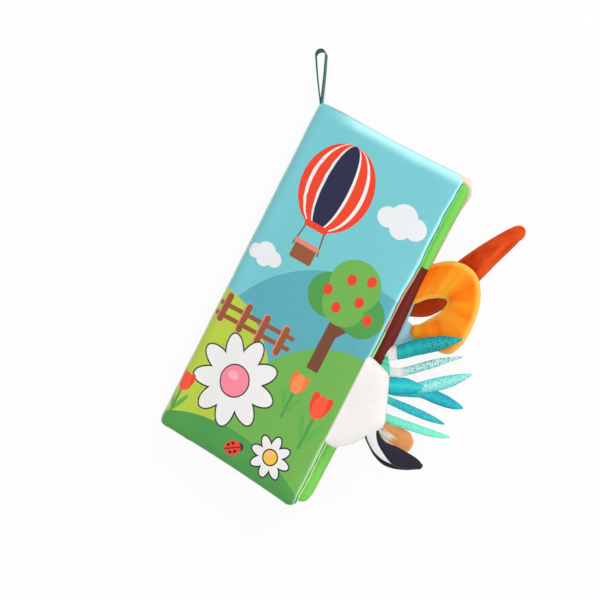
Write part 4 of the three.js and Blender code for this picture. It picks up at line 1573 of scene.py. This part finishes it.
# %% Outlines of the ribbons
RIBBONS = [
    (TEAL_RIBBON, 1.6, 0.4, [
        (4.6, 4.6, 9.4, -2.6), (8.4, 8.6, 13.4, 0.6), (13.4, 13.6, 18.4, 5.2), (19, 18.6, 24, 9.8),
        (28.7, 24.9, 32.6, 17.7), (39.6, 29.4, 40.2, 28.2),
    ]),
    (AQUA_RIBBON, 0.5, 0.5, [
        (0, -10.5, 3, -15.5), (7.2, -9, 9.9, -14.8), (13, -6.6, 16.2, -11), (19.6, -0.8, 22.6, -5.1),
        (26, 5.6, 28.8, 0.9), (30.8, 9.8, 33.5, 5.6), (35.8, 13.6, 38, 11), (45, 19.6, 45.5, 18.8),
    ]),
    (PALE_RIBBON, -0.5, 0.4, [
        (2, -17.5, 4, -21.5), (14, -14.5, 16.5, -18.5), (24, -11, 27, -15.8), (28.2, -8, 32.8, -13),
        (33.6, -2.8, 39.4, -8.6), (42.4, 4.6, 47.2, -1.2), (49.6, 9.8, 52.3, 6), (55.2, 12.8, 55.8, 12),
    ]),
    (SEA_RIBBON, 0.7, 0.7, [
        (1, -17.5, 5, -25.5), (8, -15.6, 13, -24.5), (15, -12.2, 19.5, -21), (20, -9.8, 26, -17.2),
        (27, -9, 30, -14), (31.6, -8.8, 32.2, -11.5),
    ]),
    (BLUE_RIBBON, -1.2, 0.5, [
        (2, -22.5, 3, -27), (16, -20, 17, -24), (26, -15.2, 28, -19), (31, -11.8, 33.6, -16.4),
        (38, -8, 41.8, -15.4), (46.6, -6.8, 49.4, -14), (54.3, -7, 55.6, -12), (60, -8, 60.4, -9.2),
    ]),
    (DEEP_RIBBON, 0.2, 0.5, [
        (1, -26, 1.5, -31.5), (10, -25.8, 10.8, -30.8), (19.6, -25, 19.9, -29.8), (30, -23.4, 31.4, -28.7),
        (42, -22.2, 43.6, -26.8), (51, -22.1, 51.6, -24.6), (55, -22.5, 55.2, -23.2),
    ]),
    (MINT_RIBBON, -0.8, 0.6, [
        (1, -33.6, 2, -40.4), (10, -35, 10.6, -40.6), (18.5, -35.8, 19.8, -40.6), (25.5, -34.6, 26.2, -40.2),
        (36, -32.6, 38.8, -37.4), (47, -30.4, 49.2, -34.8), (56, -28.8, 57.4, -31.6),
        (61.6, -27.8, 62, -28.8),
    ]),
]
ORGANZA_EDGES = [(-1, -0.5, 3, -7.6), (3, 3.6, 7.6, -3.6), (6.4, 6.4, 11.2, -1)]
print("marks on the ribbons:", sum(len(ribbon[-1]) for ribbon in RIBBONS))

# %% [markdown]
# ## Seven ribbons
# A ribbon is a thin strip between its two edges. It could be flat, but a flat strip looks like a blade, so it
# is bowed a little across and crinkled along its length, each ribbon at its own phase.

# %% Seven ribbons
RIBBON_THICK = 0.4
RIBBON_STATIONS = 40
RIBBON_COLUMNS = np.linspace(-1, 1, 7)
CRINKLE = 0.16
CRINKLE_PACE = 0.9
BOW = 0.12


def flat_ribbon(name, material, level, arch, edges, phase):
    """A thin crinkled strip on the front leaf's fore-edge, drawn by its upper and lower edges."""
    lines = smooth_line(edges, RIBBON_STATIONS)
    upper, lower = lines[:, :2], lines[:, 2:]
    middle, across = (upper + lower) / 2, (upper - lower) / 2
    length = run_along(middle)
    points, place = [], []
    for k, along in enumerate(length):
        half = float(np.linalg.norm(across[k]))
        bend = arch * math.sin(math.pi * along / length[-1])
        for c in RIBBON_COLUMNS:
            crinkle = CRINKLE * math.sin(along * CRINKLE_PACE + phase + c) * min(1, half)
            out, up = middle[k] + across[k] * c
            bow = BOW * half * c * c
            points.append((REACH["front_leaf"] + out, up, level + bend + crinkle - bow))
            place.append((along, half * c))
    faces = grid_faces(len(length), len(RIBBON_COLUMNS))
    piece = new_piece(name, in_book("front_leaf", points), faces, place, [material])
    thicken(piece, RIBBON_THICK)
    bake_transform(piece)
    return piece


for k, ribbon in enumerate(RIBBONS, 1):
    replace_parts(flat_ribbon(f"pointed_ribbon_{k}", *ribbon, phase=k * 1.7), f"ribbon_{k}")
flat_ribbon("organza_end", ORGANZA, 1.0, 0.2, ORGANZA_EDGES, phase=0.4)
print("ribbons:", len(RIBBONS))

# %% [markdown]
# ## The gathered seam
# Where the ribbons are sewn in, a mint strip is bunched up in small folds. Cloth that is longer than its
# seam must fold, and a simulation would find those folds, but not the ones in the photograph. A sum of two
# sines gives folds of uneven depth, each deeper at the free edge than at the seam.

# %% Gathered ribbon seam
GATHER_REACH = [(-42, 15), (-30, 15), (-23, 12.5), (-13.3, 9.8), (-7.7, 6.2), (-3.5, 2.5)]
GATHER_TOP = -3.5
GATHER_SPAN = 38.5
GATHER_ROWS, GATHER_COLUMNS = 130, 10
GATHER_PACE = 0.5
GATHER_RIPPLE = 0.25
GATHER_FOLDS = ((0.4, GATHER_PACE, 0.0), (0.3, 0.21, 1.0))


def mesh_area(piece):
    return sum(face.area for face in piece.data.polygons)


def gathered_seam():
    """The ribbons' ends bunched in small folds and sewn into the fore-edge."""
    ups, reaches = np.array(GATHER_REACH).T
    points, place = [], []
    for k in range(GATHER_ROWS):
        up = GATHER_TOP - GATHER_SPAN * k / (GATHER_ROWS - 1)
        reach = np.interp(up, ups, reaches) + GATHER_RIPPLE * math.sin(k * GATHER_PACE)
        fold = sum_of_waves(k, GATHER_FOLDS)
        for c in range(GATHER_COLUMNS):
            t = c / (GATHER_COLUMNS - 1)
            out = REACH["front_leaf"] - 1 + (reach + 1) * t
            points.append((out, up, 0.3 + 1.4 * t + fold * (0.5 + 0.5 * t)))
            place.append((8 * t, up))
    faces = grid_faces(GATHER_ROWS, GATHER_COLUMNS)
    piece = new_piece("ribbon_gather", in_book("front_leaf", points), faces, place, [MINT_RIBBON])
    thicken(piece, RIBBON_THICK)
    return piece


gather = gathered_seam()
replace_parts(gather, "ribbon_base")
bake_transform(gather)
print("gathered seam has", round(mesh_area(gather) * 1e4, 1), "square centimetres of cloth")

# %% [markdown]
# ## The blue tab
# Just under the curl a tab of pale blue cloth comes out of the rear leaf's seam and hangs a little. It is
# a folded strip, so small and stiff that a drape would hardly change it. One bent sheet with Solidify is
# enough, and it stays with the leaf.

# %% Blue tab
TAB_EDGES = [
    (-2.5, 21.5, -2.5, 2.0), (0.5, 20.4, 0.5, 2.0), (4, 19.2, 4, 2.2), (8, 18.4, 8, 2.6),
    (12.5, 17.8, 12.5, 3.2),
]
TAB_STATIONS, TAB_COLUMNS = 20, 12
TAB_DROOP = -4.8
TAB_THICK = 0.8
TAB_CLOTH = plain_cloth("pale_blue_cloth", (168, 218, 240))
points, place = [], []
for upper_out, upper_up, lower_out, lower_up in smooth_line(TAB_EDGES, TAB_STATIONS):
    droop = TAB_DROOP * min(1, max(0, upper_out + 1) / 6) ** 0.8
    for c in range(TAB_COLUMNS):
        t = c / (TAB_COLUMNS - 1)
        out = upper_out + (lower_out - upper_out) * t
        up = upper_up + (lower_up - upper_up) * t
        points.append((REACH["rear_leaf"] + out, up, droop + 0.25 * math.sin(3.1 * t + 0.3 * out)))
        place.append((out, up))
tab_faces = grid_faces(TAB_STATIONS, TAB_COLUMNS)
tab = new_piece("blue_tab", in_book("rear_leaf", points), tab_faces, place, [TAB_CLOTH])
thicken(tab, TAB_THICK)
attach(tab, "rear_leaf")
print("blue tab has", round(mesh_area(tab) * 1e4, 1), "square centimetres of cloth")

# %% [markdown]
# ## The line of the loop
# The hang loop is one ribbon doubled over, with both ends caught in the top of the spine. From above, its
# edge draws a long drop. The drop could be traced point by point, but it is only two straight sides that
# lean apart and an arc that joins them, so one side is worked out and mirrored.

# %% The line of the loop
LOOP_START = np.array([-58.4, 118.0, 17.0])
LOOP_HEAD = np.array([-73.04, 143.32, 14.05])
LOOP_HEAD_RADIUS = 3.5
LOOP_FOOT = 0.6
LOOP_BULGE = 0.25
SIDE_STEPS, TOP_STEPS = 14, 18
loop_reach = math.dist(LOOP_START[:2], LOOP_HEAD[:2])


def drop_line(length, head, foot):
    """A drop: from its foot up one side, round its head and down the other side."""
    slant = math.asin((head - foot) / length)
    side = [(-foot * 0.6, -3.2), (-foot, -1.0)]
    for t in np.linspace(0, 1, SIDE_STEPS):
        bulge = LOOP_BULGE * math.sin(math.pi * t)
        side.append((-foot - (head * math.cos(slant) - foot) * t - bulge, length * t))
    top = []
    for t in np.linspace(0, 1, TOP_STEPS)[1:-1]:
        angle = math.pi + slant - (math.pi + 2 * slant) * t
        top.append((head * math.cos(angle), length + head * math.sin(angle)))
    return np.array([*side, *top, *[(-x, y) for x, y in reversed(side)]])


loop_line = drop_line(loop_reach, LOOP_HEAD_RADIUS, LOOP_FOOT)
runs = run_along(loop_line)
print("loop ribbon is", round(runs[-1]), "mm long")

# %% [markdown]
# ## The hang loop
# The ribbon stands on its edge along that line, so that its eye faces up. A curve with a flat bevel would do,
# but it twists as it likes. Here a strip is swept along the line, and each step says how far the strip leans
# over: most at the end that comes out of the spine, and not at all at the other.

# %% Hang loop
LOOP_HALF_WIDTH = 2.8
LOOP_COLUMNS = 6
LOOP_THICK = 0.6
LOOP_RIBBON = ribbon_cloth("loop_ribbon", (0, 72, 68), (2, 116, 112), (10, 140, 136), 0.3, 0.3)
lean = math.atan2(LOOP_START[0] - LOOP_HEAD[0], LOOP_HEAD[1] - LOOP_START[1])
tip_way = np.array([-math.sin(lean), math.cos(lean), 0])
points, place = [], []
for k, (x, y) in enumerate(loop_line):
    across = x * math.cos(lean) - y * math.sin(lean)
    along = x * math.sin(lean) + y * math.cos(lean)
    spot = LOOP_START + (across, along, (LOOP_HEAD - LOOP_START)[2] * y / loop_reach)
    twist = 1 - k / (len(loop_line) - 1)
    tilt = 0.24 * math.sin(math.pi * twist) ** 6
    edge_way = np.array([0.22 * twist, 0.12 * twist, 1.0]) + tilt * tip_way
    for r in LOOP_HALF_WIDTH * np.linspace(-1, 1, LOOP_COLUMNS):
        points.append(spot + r * edge_way)
        place.append((runs[k], r))
loop_faces = grid_faces(len(loop_line), LOOP_COLUMNS, flip=True)
loop = new_piece("loop_ribbon", np.array(points) / MM, loop_faces, place, [LOOP_RIBBON])
thicken(loop, LOOP_THICK)
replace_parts(loop, "hang_loop")
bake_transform(loop)
print("loop:", len(points), "points")

# %% [markdown]
# ## The stitched roll
# Inside the spine the leaves' seam allowances are rolled up and whipped over with thread. The thread could
# be a long helix of its own, but it lies tight in the cloth. So the roll is a tube whose surface rises and
# falls along a helix, which shows as slanting stitches when the book is opened wide.

# %% Stitched roll
ROLL_HALF_LENGTH = 116.8
ROLL_RADIUS = 1.42
STITCH_RISE = 0.16
STITCH_PACE = 1.6
ROLL_RINGS, ROLL_SIDES = 200, 12
THREAD = plain_cloth("seam_thread", (92, 172, 186), 0.7, 0.4, 0.1)
points, place = [], []
for up in np.linspace(-ROLL_HALF_LENGTH, ROLL_HALF_LENGTH, ROLL_RINGS):
    for angle in 2 * math.pi * np.arange(ROLL_SIDES) / ROLL_SIDES:
        radius = ROLL_RADIUS + STITCH_RISE * math.sin(angle + up * STITCH_PACE)
        points.append((STITCH[0] + radius * math.cos(angle), up, STITCH[2] + radius * math.sin(angle)))
        place.append((up, radius * angle))
first_ring = tuple(range(ROLL_SIDES))
last_ring = tuple((ROLL_RINGS - 1) * ROLL_SIDES + i for i in reversed(first_ring))
roll_faces = ring_faces(ROLL_RINGS, ROLL_SIDES, flip=True) + [first_ring, last_ring]
roll = new_piece("stitched_roll", np.array(points) / MM, roll_faces, place, [THREAD])
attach(roll, "back_cover")
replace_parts(roll, "spine_seam")
print("stitched roll:", ROLL_RINGS, "rings")

# %% [markdown]
# ## What is inside
# The wadding, the crackling film and the stuffing stay as the solids that were loaded. They only show if
# the cloth is taken off, so no new mesh is made for them, but they still get the finish of what they are:
# matt uneven fibre for the wadding and the stuffing, and a smooth pale film.


# %% Wadding, film and stuffing
def fibre(name, colour, roughness, scale):
    material = bpy.data.materials.new(name)
    material.use_nodes = True
    tree = material.node_tree
    place = added(tree, "TexCoord", {}).outputs["Object"]
    uneven = mottled(tree, flat_colour(tree, colour), place, scale, 0.88, 1.04)
    wire(tree, tree.nodes["Principled BSDF"], {"Base Color": uneven, "Roughness": roughness})
    return material


INNER = {
    "_foam": fibre("wadding", (244, 239, 226), 0.95, 300),
    "_film": fibre("crackling_film", (223, 230, 234), 0.25, 120),
    "_filling": fibre("stuffing", (250, 250, 250), 0.95, 500),
}
for name, node in frame["nodes"].items():
    for ending, material in INNER.items():
        if name.endswith(ending):
            node.data.materials.clear()
            node.data.materials.append(material)
print("inner pieces:", sum(name.endswith(tuple(INNER)) for name in frame["nodes"]))

# %% [markdown]
# ## Sizes, and the end
# Cloth may stand a little proud of the solids that it covers, but the book must not grow. The box of the
# solids, measured at the start, and the box of the dressed book are written side by side, so that they can
# be compared.

# %% Sizes and the end
size = {"cad": cad_box, "visual": [list(corner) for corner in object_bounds()]}
print("sizes:", size)
